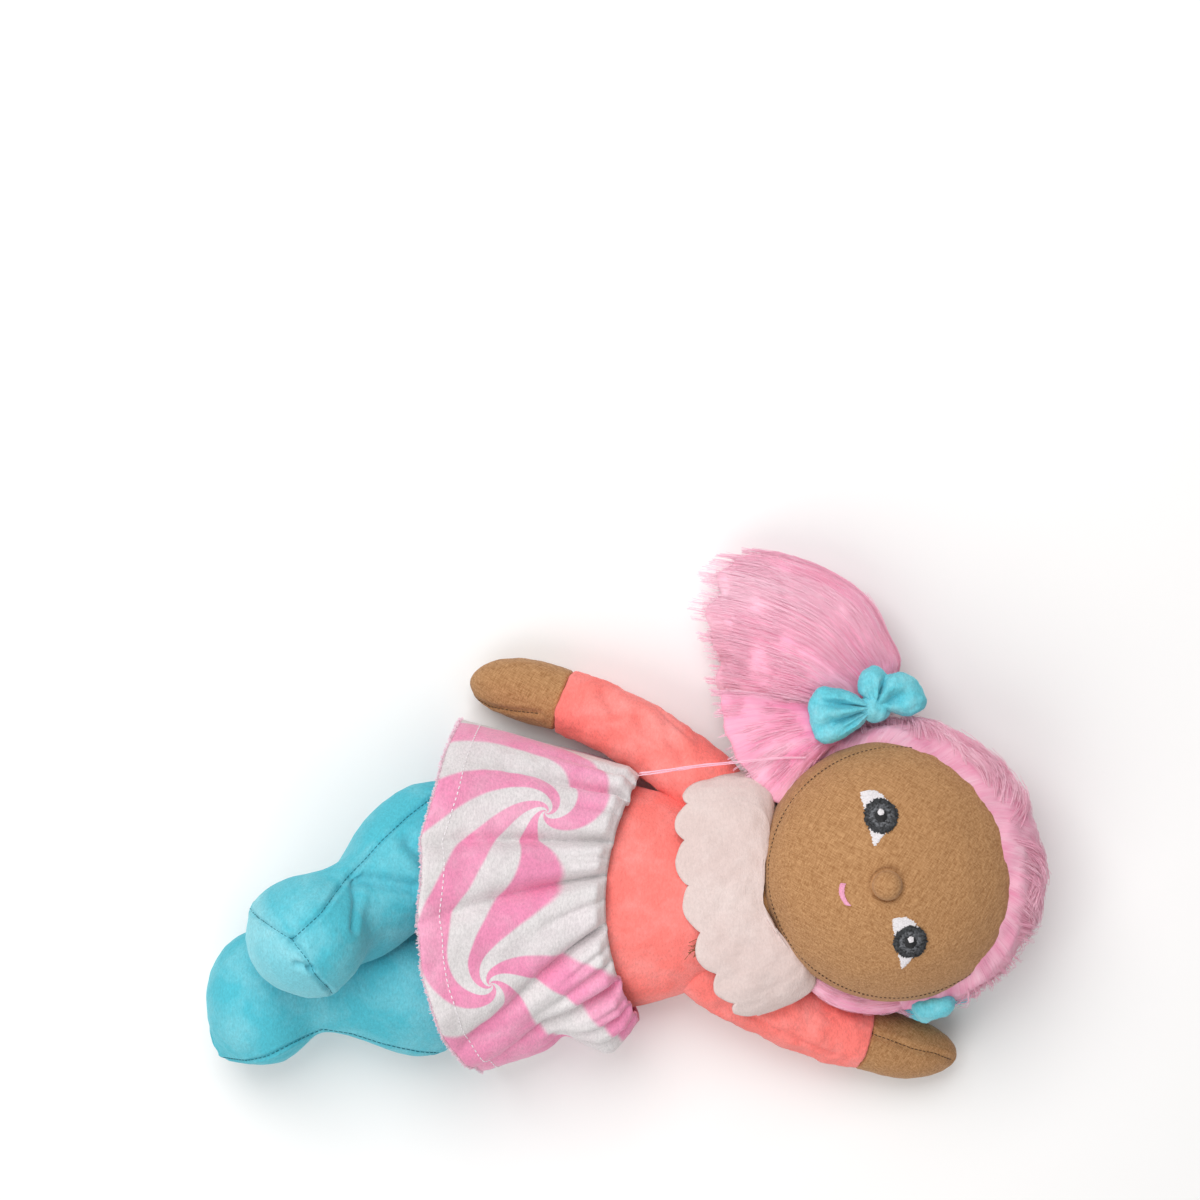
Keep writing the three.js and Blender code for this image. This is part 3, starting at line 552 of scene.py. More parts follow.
def strandTree():
    look = strandLook
    tree, given = newTree("combedStrands", [
        ("Copies", "NodeSocketInt"), ("Spread", "NodeSocketFloat"), ("Curl", "NodeSocketFloat"),
        ("Thickness", "NodeSocketFloat"), ("Seed", "NodeSocketInt"), ("Material", "NodeSocketMaterial")])
    guides = addNode(tree, "GeometryNodeMeshToCurve", inputs={"Mesh": given["Geometry"]})
    copies = addNode(tree, "GeometryNodeDuplicateElements", {"domain": "SPLINE"}, {
        "Geometry": guides, "Amount": given["Copies"]})
    scatter = addNode(tree, "FunctionNodeRandomValue", {"data_type": "FLOAT_VECTOR"}, {
        0: (-1, -1, -1), 1: (1, 1, 1), "Seed": given["Seed"]})
    own = addNode(tree, "GeometryNodeFieldOnDomain", {"domain": "CURVE", "data_type": "FLOAT_VECTOR"}, {
        0: scatter})
    along = addNode(tree, "GeometryNodeSplineParameter")
    grows = addNode(tree, "ShaderNodeMath", "MULTIPLY_ADD", {0: along, 1: 1 - look["atRoot"], 2: look["atRoot"]})
    reach = addNode(tree, "ShaderNodeMath", "MULTIPLY", {0: grows, 1: given["Spread"]})
    aside = addNode(tree, "ShaderNodeVectorMath", "SCALE", {0: own, "Scale": reach})
    place = addNode(tree, "GeometryNodeInputPosition")
    apart = addNode(tree, "ShaderNodeVectorMath", "MULTIPLY_ADD", {0: own, 1: [look["apart"]] * 3, 2: place})
    waves = addNode(tree, "ShaderNodeTexNoise", inputs={
        "Vector": apart, "Scale": 1 / (look["wave"] * mm), "Detail": 1.0})
    centred = addNode(tree, "ShaderNodeVectorMath", "SUBTRACT", {0: waves.outputs["Color"], 1: (0.5, 0.5, 0.5)})
    bends = addNode(tree, "ShaderNodeMath", "MULTIPLY", {0: along, 1: given["Curl"]})
    wavy = addNode(tree, "ShaderNodeVectorMath", "SCALE", {0: centred, "Scale": bends})
    total = addNode(tree, "ShaderNodeVectorMath", "ADD", {0: aside, 1: wavy})
    moved = addNode(tree, "GeometryNodeSetPosition", inputs={"Geometry": copies, "Offset": total})
    chance = addNode(tree, "FunctionNodeRandomValue", {"data_type": "FLOAT"}, {"Seed": given["Seed"]})
    ownChance = addNode(tree, "GeometryNodeFieldOnDomain", {"domain": "CURVE", "data_type": "FLOAT"}, {0: chance})
    lock = addNode(tree, "GeometryNodeInputNamedAttribute", {"data_type": "FLOAT"}, {"Name": "lock"})
    ownTone = addNode(tree, "ShaderNodeMath", "MULTIPLY_ADD", {0: ownChance, 1: look["toneSpread"], 2: lock})
    roll = addNode(tree, "ShaderNodeMath", "MULTIPLY_ADD", {0: ownChance, 1: look["roll"], 2: -look["roll"] / 2})
    tinted = addNode(tree, "GeometryNodeStoreNamedAttribute", {"domain": "POINT", "data_type": "FLOAT"}, {
        "Geometry": moved, "Name": "tone", "Value": ownTone})
    marked = addNode(tree, "GeometryNodeStoreNamedAttribute", {"domain": "POINT", "data_type": "FLOAT"}, {
        "Geometry": tinted, "Name": "along", "Value": along})
    squared = addNode(tree, "ShaderNodeMath", "MULTIPLY", {0: along, 1: along})
    taper = addNode(tree, "ShaderNodeMath", "MULTIPLY_ADD", {0: squared, 1: -look["taper"], 2: 1.0})
    thinned = addNode(tree, "GeometryNodeSetCurveRadius", inputs={"Curve": marked, "Radius": taper})
    level = addNode(tree, "GeometryNodeSetCurveNormal", {"mode": "Z_UP"}, {"Curve": thinned})
    tilted = addNode(tree, "GeometryNodeSetCurveTilt", inputs={"Curve": level, "Tilt": roll})
    edge = addNode(tree, "ShaderNodeCombineXYZ", inputs={"X": given["Thickness"]})
    flat = addNode(tree, "GeometryNodeCurvePrimitiveLine", inputs={"End": edge})
    strands = addNode(tree, "GeometryNodeCurveToMesh", inputs={"Curve": tilted, "Profile Curve": flat})
    endTree(tree, strands, given["Material"])
    return tree


threadLines, combedStrands = threadTree(), strandTree()


def fromLines(name, lines, tree, values, tones=None):
    verts, edges = [], []
    for line in lines:
        edges += [(len(verts) + i, len(verts) + i + 1) for i in range(len(line) - 1)]
        verts += [tuple(np.asarray(p, float) * mm) for p in line]
    mesh = bpy.data.meshes.new(name)
    mesh.from_pydata(verts, edges, [])
    if tones is not None:
        lock = mesh.attributes.new("lock", "FLOAT", "POINT")
        lock.data.foreach_set("value", np.repeat(tones, [len(line) for line in lines]))
    obj = inScene(name, mesh)
    modifier = obj.modifiers.new(name, "NODES")
    modifier.node_group = tree
    for item in tree.interface.items_tree:
        if item.in_out == "INPUT" and item.name in values:
            modifier[item.identifier] = values[item.name]
    return smoothed(applyModifiers(obj))


def stitchedLine(name, line, look, material):
    # a running stitch: short threads with gaps between them
    steps = 6  # from one stitch to the next
    spaced = resampled(line, look["pitch"] / steps)
    shown = max(2, int(round(steps * look["share"])) + 1)
    dashes = [spaced[i:i + shown] for i in range(0, len(spaced) - steps, steps)]
    return fromLines(name, dashes, threadLines, {"Thickness": look["thick"] * mm, "Material": material})


def carried(obj, body, slotName, replaced=()):
    # a piece rides on one body; one given between two (first, second, start, end) is only fixed where it lies
    if isinstance(body, str):
        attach(obj, body)
    else:
        Vector(body[2]) * mm
        Vector(body[3]) * mm
        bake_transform(obj)
    if replaced:
        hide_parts(*replaced)
    return obj


# floor, light and camera
setting = {
    "floor": "#F6F5F4", "floorHalf": 3000, "world": 0.36, "aim": (-0.01, 0.03, 0.02),
    "key": {"energy": 11.0, "place": (-0.25, 0.6, 1.05), "size": 0.9},
    "fill": {"energy": 8.2, "place": (-0.45, -0.75, 1.0), "size": 1.2},
    "cameraPlace": (-22.5, 111.75, 1250), "lens": 97.2, "sensor": 36.0}
floorMaterial, floorTree = newMaterial("paperFloor")
paper = addNode(floorTree, "ShaderNodeTexNoise", inputs={"Scale": 6.0, "Detail": 2.0})
tinted = addNode(floorTree, "ShaderNodeMapRange", inputs={"Value": paper, "To Min": 0.82, "To Max": 0.9})
finishMaterial(floorTree, {"Base Color": linear(setting["floor"]), "Roughness": tinted})
floorHalf = setting["floorHalf"]
floorCorners = [(x * floorHalf, y * floorHalf, 0) for x, y in ((-1, -1), (1, -1), (1, 1), (-1, 1))]
meshOf("floor", floorCorners, [(0, 1, 2, 3)], floorMaterial)
world = bpy.data.worlds.new("studio")
world.use_nodes = True
backdrop = world.node_tree.nodes["Background"].inputs
backdrop["Color"].default_value, backdrop["Strength"].default_value = (1, 1, 1, 1), setting["world"]
scene.world = world
for label in ("key", "fill"):
    light = bpy.data.lights.new(label, "AREA")
    light.energy, light.size = setting[label]["energy"], setting[label]["size"]
    lamp = inScene(label, light)
    lamp.location = setting[label]["place"]
    lamp.rotation_euler = (Vector(setting["aim"]) - lamp.location).to_track_quat("-Z", "Y").to_euler()
camera = inScene("camera", bpy.data.cameras.new("camera"))
camera.location = Vector(setting["cameraPlace"]) * mm
camera.data.lens, camera.data.sensor_width = setting["lens"], setting["sensor"]
scene.camera = camera
scene.view_settings.view_transform = "Standard"

# stuffed cases: torso, arms and legs start a little slack and are filled together
torsoLook = {
    "from": -50, "to": 33, "widths": [68, 86, 85, 74, 54], "depths": [48, 54, 54, 54, 40], "roundFrom": 18,
    "roundTo": 14, "height": 25.5, "waistCurve": 90, "waistReach": 20, "under": 5, "slack": 1.0, "cap": 2.0}


def waistAt(y):
    curve = torsoLook["waistCurve"]
    return curve - torsoLook["waistReach"] - np.sqrt(curve ** 2 - np.clip(y, -80, 80) ** 2)


def onGround(obj, height):
    coords = coordsOf(obj)
    coords[:, 2] = np.maximum(coords[:, 2], height)
    setCoords(obj, coords)
    return obj


torsoVerts, torsoFaces = stuffedForm(torsoLook)
torsoVerts[:, 2] = np.maximum(torsoVerts[:, 2] + torsoLook["height"], 0.4)
torsoCase = outwards(meshOf("torsoCase", torsoVerts, torsoFaces, coralVelour))

armLook = {
    "reach": 104, "sleeve": 67, "ball": 14.5, "sleeveWidths": [29, 28.6, 28, 27.4, 25.8],
    "handWidths": [25.2, 26, 22.4, 10], "handFlat": 0.9, "handRound": 6, "bendsFrom": -6, "bendsTo": 22,
    "slack": 0.7, "cap": 1.4,
    "right": {"pivot": (19, 40, 27), "heading": 136, "pitch": 9.5, "bend": 40},
    "left": {"pivot": (19, -27.5, 27), "heading": -34, "pitch": 9.5, "bend": 28}}
sleeveForm = {
    "from": -armLook["ball"], "to": armLook["sleeve"] + 0.6, "widths": armLook["sleeveWidths"],
    "depths": armLook["sleeveWidths"], "roundFrom": armLook["ball"], "roundTo": 2.0}
handForm = {
    "from": armLook["sleeve"] - 3, "to": armLook["reach"], "widths": armLook["handWidths"],
    "depths": [armLook["handFlat"] * w for w in armLook["handWidths"]], "roundFrom": 2.0,
    "roundTo": armLook["handRound"]}
armMatrix, sleeves, hands = {}, {}, {}
for side in sides:
    limb = armLook[side]
    armMatrix[side] = headingMatrix(limb["pivot"], limb["heading"], limb["pitch"])
    for store, name, form, material in (
            (sleeves, "sleevePad", sleeveForm, coralVelour), (hands, "handPad", handForm, brownCotton)):
        verts, faces = stuffedForm(form, step=2.2)
        verts = placedAt(bentForm(verts, limb["bend"], armLook["reach"]), armMatrix[side])
        store[side] = outwards(meshOf(f"{name}_{side}", verts, faces, material))

legLook = {"voxel": 3.0, "soften": 0.5, "passes": 6, "slack": 1.0, "cap": 1.8}
legs = {}
for side in sides:
    bm = bmesh.new()
    for node in (f"leg_{side}", f"sole_{side}", f"leg_stuffing_{side}"):
        bm.from_mesh(nodes[node].data)
    bmesh.ops.remove_doubles(bm, verts=bm.verts, dist=1e-6)
    mesh = bpy.data.meshes.new(f"legPad_{side}")
    bm.to_mesh(mesh)
    bm.free()
    leg = inScene(f"legPad_{side}", mesh)
    remesh = leg.modifiers.new("Remesh", "REMESH")
    remesh.mode, remesh.voxel_size = "VOXEL", legLook["voxel"] * mm
    soften = leg.modifiers.new("Smooth", "SMOOTH")
    soften.factor, soften.iterations = legLook["soften"], legLook["passes"]
    legs[side] = smoothed(applyModifiers(leg))
    legs[side].data.materials.clear()
    legs[side].data.materials.append(turquoiseVelour)

inflated([(torsoCase, torsoLook)] + [(sleeves[s], armLook) for s in sides] + [(hands[s], armLook) for s in sides]
         + [(legs[s], legLook) for s in sides])
print("cases stuffed")

# torso: coral above the waist, brown cotton below
subdivided(torsoCase)
wrinkled(torsoCase, size=15, depth=0.8, seed=3)
onGround(torsoCase, height=0.0)
torsoCoords = coordsOf(torsoCase)
above = torsoCoords[:, 0] - waistAt(torsoCoords[:, 1])
bodiceFaces, seatFaces = [], []
for polygon in torsoCase.data.polygons:
    heights = above[list(polygon.vertices)]
    if heights.max() > -torsoLook["under"]:
        bodiceFaces.append(list(polygon.vertices))
    if heights.min() < -torsoLook["under"] + 1:
        seatFaces.append(list(polygon.vertices))
bpy.data.objects.remove(torsoCase)


def partOf(name, coords, faces, material):
    used = sorted({v for f in faces for v in f})
    place = {v: i for i, v in enumerate(used)}
    return meshOf(name, coords[used], [[place[v] for v in f] for f in faces], material)


bodice = partOf("bodicePad", torsoCoords, bodiceFaces, coralVelour)
seat = partOf("seatPad", torsoCoords - 0.4 * np.sign(torsoCoords - (0, 0, 25)), seatFaces, brownCotton)
onGround(seat, height=3.5)
carried(bodice, "torso", "coral", ("bodice", "torso_stuffing"))
carried(seat, "torso", "skin", ("seat",))

neckPlace = (36, -1, 36)
neckLook = {"from": -18, "to": 13, "widths": [26, 26, 26], "depths": [26, 26, 26], "roundFrom": 2, "roundTo": 13}
neckVerts, neckFaces = stuffedForm(neckLook, step=2.4, grow=-0.4)
neck = outwards(meshOf("neckPad", neckVerts + np.array(neckPlace), neckFaces, brownCotton))
carried(subdivided(neck), "torso", "skin", ("neck",))

# arms: the sleeve is sewn to the bodice, the hand is a cotton mitt with a middle seam
seamLook = {"pitch": 1.7, "share": 0.62, "thick": 0.16}
handSeam = {
    "right": [(-73.5, 78.0), (-70.0, 74.2), (-64.3, 71.2), (-55.5, 69.7), (-45.5, 68.8)],
    "left": [(77.2, -51.0), (85.0, -53.8), (95.6, -58.0), (105.0, -60.5), (112.0, -63.8)]}
sleeveSeam = {"right": [(-38, 88.5), (-22, 84), (-4, 74), (10, 61)], "left": [(66, -60), (50, -53), (34, -44)]}
sleeveFolds = {
    "right": [[(2, 60), (8, 55), (10, 48)], [(-8, 68), (-3, 60)], [(-20, 76), (-16, 69)]],
    "left": [[(24, -32), (32, -36), (38, -36)], [(24, -41), (34, -44)], [(40, -44), (47, -42)]]}
for side in sides:
    limb = armLook[side]
    sleeve, hand = subdivided(sleeves[side]), subdivided(hands[side])
    wrinkled(sleeve, size=9, depth=0.9, seed=5 + sideSign[side])
    carved(sleeve, dropped(sleeve, sleeveSeam[side]), width=1.0, depth=0.8, ridge=0.3)
    for fold in sleeveFolds[side]:
        carved(sleeve, dropped(sleeve, fold), width=2.2, depth=1.3, ridge=0.5)
    onGround(sleeve, height=0.3)
    pivot = Vector(limb["pivot"])
    ahead = armMatrix[side].to_3x3() @ Vector((1, 0, 0))
    shoulder = ("torso", f"arm_{side}", pivot + armLook["bendsFrom"] * ahead, pivot + armLook["bendsTo"] * ahead)
    carried(sleeve, shoulder, "coral", (f"sleeve_{side}", f"arm_stuffing_{side}"))
    wrinkled(hand, size=8, depth=0.35, seed=11)
    carved(hand, dropped(hand, handSeam[side]), width=1.1, depth=0.9, ridge=0.3)
    onGround(hand, height=0.3)
    carried(hand, f"arm_{side}", "skin", (f"hand_{side}",))
    sewnLine = dropped(hand, handSeam[side], lift=0.05)
    stitches = stitchedLine(f"handStitch_{side}", sewnLine, seamLook, threads["seamBrown"])
    carried(stitches, f"arm_{side}", "skin")
print("arms made")

# legs: sewn lines pressed into the velour, creases where the ankle bends;
# each row: width, depth, whether it is stitched, then the line from above
legSeams = {
    "right": [
        (0.9, 1.6, True, [
            (-151, -0.8), (-142.5, -4.5), (-132.6, -9.6), (-126.9, -17.1), (-125.1, -21.9), (-120.5, -29.5),
            (-119.8, -38)]),
        (0.9, 1.5, True, [
            (-132.6, -9.6), (-122.4, -0.4), (-114.6, 10.8), (-108.3, 17.1), (-102.4, 23.7), (-93.5, 31.9),
            (-83.1, 39.9)]),
        (2.8, 3.4, False, [(-109, 10.9), (-98.1, 9), (-89.8, 6.7)]),
        (1.7, 1.6, False, [(-112, 10), (-110.5, 3), (-111, -6)]),
        (2.8, 2.6, False, [(-92.1, 23.3), (-84.5, 15.8)]),
        (1.3, 1.6, False, [(-126, -20), (-131, -18.5)])],
    "left": [
        (1.0, 1.4, False, [(-169, -53), (-167, -61)]),
        (0.9, 1.4, True, [
            (-169, -61.8), (-155, -61), (-147, -58.7), (-137.7, -54), (-126.8, -49.4), (-115.8, -50.9),
            (-104.9, -54.8), (-90.8, -58.4), (-78.4, -60)])]}
legPulls = {
    "right": [
        ((-120, -38, 52), 14, (0, -9, 0)), ((-104, -20, 46), 12, (0, -8, 0)), ((-119, 16, 54), 11, (1, -8, -3)),
        ((-95, 36, 42), 16, (0, 5, 0)), ((-150, 0, 55), 10, (-2, 2, 0))],
    "left": [
        ((-90, -54, 20), 17, (0, -8, 0)), ((-169, -60, 15), 13, (-5, -9, 0)), ((-124, -49, 20), 10, (0, 4, 0))]}
legStitch = {"pitch": 1.9, "share": 0.7, "thick": 0.16}
# the sole side of the right foot is painted paler: partly brushed-up pile, partly painted light standing in for
# light falling on the sole
soleNapAndLight = {"from": (-134.5, -5.5), "facing": (-0.8, -0.6), "fade": 5, "paler": 0.4}
for side in sides:
    leg = subdivided(pulled(legs[side], legPulls[side]), levels=2)
    wrinkled(leg, size=14, depth=0.35, seed=21 + sideSign[side])
    sewn = []
    for width, depth, stitched, line in legSeams[side]:
        carved(leg, dropped(leg, line), width, depth, ridge=0.3)
        if stitched:
            sewn.append(line)
    onGround(leg, height=0.2)
    # painted light, partly brushed pile: the sole side of the right foot turns paler
    if side == "right":
        beyond = (coordsOf(leg)[:, :2] - soleNapAndLight["from"]) @ np.array(soleNapAndLight["facing"])
        napAndPaintedLight = leg.data.attributes.new("napAndPaintedLight", "FLOAT", "POINT")
        napAndPaintedLight.data.foreach_set("value", soleNapAndLight["paler"] * np.clip(beyond / soleNapAndLight["fade"], 0, 1))
    carried(leg, f"leg_{side}", "turquoise", (f"leg_{side}", f"sole_{side}", f"leg_stuffing_{side}"))
    for number, line in enumerate(sewn):
        sewnLine = dropped(leg, line, lift=0.02)
        stitches = stitchedLine(f"legStitch_{side}_{number}", sewnLine, legStitch, threads["seamTeal"])
        carried(stitches, f"leg_{side}", "turquoise")
print("legs made")

# skirt: a gathered strip of printed velour; creases start at the waist and fade towards the hem
waistEase = 2.0 + 1.6  # elastic and cloth
skirtLook = {
    "length": 68, "waistHalf": torsoLook["widths"][2] / 2 + waistEase,
    "waistTop": torsoLook["height"] + torsoLook["depths"][2] / 2 + waistEase, "height": torsoLook["height"],
    "hemHalf": 65, "hemHeight": 77, "hemSide": 14, "flare": 1.5, "crown": 0.65, "under": 0.15, "ground": 0.3,
    "cloth": 1.4, "rows": 64, "around": 420, "hemLine": 0.89, "flat": (0.36, 0.074), "fuzz": 3200, "swell": 5.2,
    "crumple": 1.3, "crumpleSize": 17, "leftBulge": 7.5, "leftHollow": 3.5, "leftPull": 9, "waves": 0.9}
# where a crease starts on the waist, in degrees from the doll's right over the front,
# then its depth, width, length and drift
skirtCreases = [
    (8, 3.0, 1.6, 0.5, 0), (20, 4.5, 1.8, 0.6, 0), (34, 8.0, 1.8, 0.9, 0), (46, 3.0, 1.5, 0.4, 4),
    (60.5, 9.5, 1.9, 1.4, 8), (69, 3.0, 1.3, 0.4, 10), (77, 9.5, 1.9, 1.3, 18), (88, 3.5, 1.4, 0.45, 30),
    (100, 10.0, 2.1, 1.3, 50), (110, 3.0, 1.4, 0.4, 45), (118, 5.0, 1.8, 0.7, 42), (131, 10.0, 2.2, 1.4, 36),
    (142, 3.0, 1.5, 0.4, 20), (150, 6.0, 2.0, 0.9, 15), (163, 6.0, 2.2, 1.0, 5)]


def mixed(a, b, t):
    return a + (b - a) * t


def sheetGrid(look):
    # t runs down the sheet, turn round the doll
    return np.meshgrid(np.linspace(0, 1, look["rows"]), circle(look["around"]), indexing="ij")


def walled(obj, middle, thickness):
    # turns the sheet's faces away from the middle and gives it a wall on the inside
    bm = bmesh.new()
    bm.from_mesh(obj.data)
    bmesh.ops.recalc_face_normals(bm, faces=bm.faces)
    bm.normal_update()
    inside = Vector(middle) * mm
    if sum((f.calc_center_median() - inside).dot(f.normal) for f in bm.faces) < 0:
        bmesh.ops.reverse_faces(bm, faces=bm.faces)
    bm.to_mesh(obj.data)
    bm.free()
    wall = obj.modifiers.new("Solidify", "SOLIDIFY")
    wall.thickness, wall.offset = thickness * mm, -1.0
    return applyModifiers(obj)


def skirtPoint(t, turn):
    look = skirtLook
    half = mixed(look["waistHalf"], look["hemHalf"], t)
    top = mixed(look["waistTop"], look["hemHeight"], t ** look["flare"])
    side = mixed(look["height"], look["hemSide"], np.sqrt(t))
    rise = np.sin(turn)
    x = waistAt(look["waistHalf"] * np.cos(turn)) - 0.4 - look["length"] * t
    over = side + (top - side) * np.maximum(rise, 0) ** look["crown"]
    below = (side - look["ground"]) * np.maximum(-rise, 0) ** look["under"]
    return np.stack([x, half * np.cos(turn), over - below], -1)


rows, around = skirtLook["rows"], skirtLook["around"]
tGrid, turnGrid = sheetGrid(skirtLook)
skirtPoints = skirtPoint(tGrid, turnGrid)
acrossStep = np.roll(skirtPoints, -1, 1) - np.roll(skirtPoints, 1, 1)
alongStep = np.gradient(skirtPoints, axis=0)
skirtNormals = np.cross(acrossStep, alongStep)
skirtNormals /= np.linalg.norm(skirtNormals, axis=2, keepdims=True)
skirtNormals *= np.sign((skirtNormals * (skirtPoints - skirtPoints.mean((0, 1)))).sum(2).mean())
topShare = np.clip(np.sin(turnGrid) * 1.6 + 0.3, 0, 1)
girth = np.linalg.norm(acrossStep, axis=2) / (2 * 2 * np.pi / around)
swell = skirtLook["swell"] * (1 - tGrid) ** 0.5 * np.minimum(1, tGrid * 16) * topShare
for start, depth, width, reach, drift in skirtCreases:
    centre = np.radians(start + drift * tGrid)
    apart = np.abs((turnGrid - centre + np.pi) % (2 * np.pi) - np.pi) * girth
    spread = width * (0.8 + 1.6 * tGrid)
    fade = np.clip(1 - tGrid / reach, 0, 1) ** 1.1 * np.minimum(1, 0.35 + tGrid * 10)
    swell -= depth * fade * np.exp(-(apart / spread) ** 1.4) * topShare
# on the doll's left the cloth bulges below the waist and is drawn up at the hem
leftSide = np.exp(-((turnGrid - np.pi) / 0.55) ** 2)
bulge = skirtLook["leftBulge"] * np.exp(-((tGrid - 0.2) / 0.12) ** 2)
hollow = skirtLook["leftHollow"] * np.exp(-((tGrid - 0.44) / 0.08) ** 2)
swell += leftSide * (bulge - hollow)
softWaves = 1.5 * np.sin(9 * turnGrid + 0.7) + 1.1 * np.sin(14 * turnGrid + 2.1)
waves = skirtLook["waves"]
swell += softWaves * tGrid ** 1.5 * topShare * waves + waves * tGrid ** 2 * topShare
crumple = puckers(skirtPoints.reshape(-1, 3), skirtLook["crumpleSize"], seed=0)
swell += skirtLook["crumple"] * crumple.reshape(rows, around) * topShare * np.minimum(1, tGrid * 4)
skirtPoints = skirtPoints + skirtNormals * swell[..., None]
skirtPoints[..., 0] += skirtLook["leftPull"] * leftSide * tGrid ** 1.5
skirtPoints[..., 2] = np.maximum(skirtPoints[..., 2], skirtLook["ground"] + 0.2)
skirt = meshOf("skirtCloth", skirtPoints.reshape(-1, 3), gridFaces(rows, around), skirtVelour)
mapped(skirt, "flatCloth", around, skirtLook["flat"])
walled(skirt, (-50, 0, 30), skirtLook["cloth"])
carried(skirt, "torso", "print", ("skirt", "skirt_elastic"))
hemRow = int(skirtLook["hemLine"] * (rows - 1))
degrees = np.arange(around) * 360 / around
showing = (degrees < 184) | (degrees > 356)  # the part of the hem off the ground
hemLine = (skirtPoints + skirtNormals * 0.1)[hemRow][showing]
hemLook = {"pitch": 2.2, "share": 0.5, "thick": 0.22}
hemStitch = stitchedLine("hemStitch", hemLine, hemLook, threads["hemWhite"])
carried(hemStitch, "torso", "print")
rng = np.random.default_rng(41)
fuzz = []
for _ in range(skirtLook["fuzz"]):
    j = rng.integers(around)
    if not showing[j]:
        continue
    root = skirtPoints[-1, j] + np.array((0.3, 0, -0.5))
    aim = np.array((-1.0, 0, 0)) + 0.5 * skirtNormals[-1, j] + rng.normal(0, 0.35, 3)
    fuzz.append([root, root + aim * rng.uniform(0.2, 0.4), root + aim * rng.uniform(0.6, 1.0)])
hemFuzz = fromLines("hemFuzz", fuzz, combedStrands, {
    "Copies": 4, "Spread": 0.4 * mm, "Curl": 0.4 * mm, "Thickness": 0.16 * mm, "Seed": 4, "Material": hemPile})
carried(hemFuzz, "torso", "print")
print("skirt gathered")

# collar: scalloped cloth that falls from the neck over chest and back
collarLook = {
    "neck": neckPlace, "tilt": 13.2, "inner": (24, 15), "half": 46, "shift": 4, "front": 23.5, "back": 11,
    "scallops": 16, "drop": 1.6, "lift": 0.4, "curve": 0.6, "scallop": 4.0, "height": torsoLook["height"],
    "depth": 27.9, "cloth": 1.5, "rows": 30, "around": 480, "ahead": 6, "bulge": 12, "flat": (0.19, 0.045),
    "pleats": 46, "pleatDepth": 0.9}


def collarPoint(t, turn):
    look = collarLook
    spread = np.sin(t * np.pi / 2)
    half = mixed(look["inner"][0], look["half"], spread)
    depth = mixed(look["inner"][1], look["depth"], spread)
    rise = np.sin(turn)
    fall = np.where(rise > 0, look["front"], look["back"]) * np.abs(rise) ** look["curve"]
    scallop = look["scallop"] * np.abs(np.cos(look["scallops"] * turn / 2)) ** 0.8
    height = mixed(0, look["height"] - look["neck"][2], spread)
    lift = depth * np.sign(rise) * np.abs(rise) ** look["lift"]
    bulge = look["bulge"] * np.sin(np.pi * np.clip(t / 0.92, 0, 1)) ** 0.8
    beside = 2.5 * (1 - t) + np.abs(np.cos(turn)) ** 1.2 * (look["ahead"] * (1 - t) + bulge)
    local = np.stack([
        beside - (t ** look["drop"]) * (fall + scallop), look["shift"] * spread + half * np.cos(turn),
        height + lift], -1)
    return local @ np.array(Matrix.Rotation(math.radians(look["tilt"]), 3, "Z")).T + np.array(look["neck"])


rows, around = collarLook["rows"], collarLook["around"]
tGrid, turnGrid = sheetGrid(collarLook)
collarPoints = collarPoint(tGrid, turnGrid)
pitch = collarLook["pleats"] / 6
gathers = np.array([noise.noise(Vector((a * pitch, 0.4 * r, 2.0))) for r in range(rows) for a in turnGrid[0]])
pleatDepth = collarLook["pleatDepth"] * gathers.reshape(rows, around) * np.sign(np.sin(turnGrid))
collarPoints[..., 2] += pleatDepth * tGrid * (1 - tGrid) ** 0.5
collarPoints[..., 2] = np.maximum(collarPoints[..., 2], 1.9)
collar = meshOf("collarCloth", collarPoints.reshape(-1, 3), gridFaces(rows, around), creamVelour)
walled(collar, (22, 0, 27), collarLook["cloth"])
wrinkled(collar, size=12, depth=0.7, seed=31)
onGround(collar, height=0.3)
carried(collar, "torso", "cream", ("collar",))
tuftLook = {"place": (14.2, -16.8, 51.0), "count": 26, "length": 3.2}
rng = np.random.default_rng(23)
tuft = []
for _ in range(tuftLook["count"]):
    root = np.array(tuftLook["place"]) + rng.normal(0, 1, 3) * (0.8, 1.2, 0.4)
    aim = np.array((-0.75, -0.35, 0.25)) + rng.normal(0, 0.4, 3)
    tuft.append([root + (2, 0.8, -1.2), root, root + aim * tuftLook["length"] * rng.uniform(0.4, 1.0)])
looseThreads = fromLines("looseThreads", tuft, threadLines, {
    "Thickness": 0.1 * mm, "Material": threads["looseBrown"]})
carried(looseThreads, "torso", "skin")
print("collar laid")

# head: cotton face and plush cap on one ellipsoid, measured from the middle of the head
headLook = {"middle": (87.02, 10.97, 40), "tilt": 13.2, "half": (50, 49, 36), "hairline": 24, "around": 200}
headMatrix = Matrix.Translation(headLook["middle"]) @ Matrix.Rotation(math.radians(headLook["tilt"]), 4, "Z")
headHalf = np.array(headLook["half"], float)
hairline = math.radians(headLook["hairline"])
frontAxis = np.array((-math.sin(hairline), 0, math.cos(hairline)))


def onFace(u, v, lift=0.0):
    # a point of the face, u to the crown and v to the doll's right, in the doll's frame
    flat = (np.asarray(u) / headHalf[0]) ** 2 + (np.asarray(v) / headHalf[1]) ** 2
    z = headHalf[2] * np.sqrt(np.maximum(0.02, 1 - flat))
    local = np.stack([u + 0 * z, v + 0 * z, z], -1)
    normal = local / headHalf ** 2
    normal /= np.linalg.norm(normal, axis=-1, keepdims=True)
    return placedAt(local + normal * lift, headMatrix)


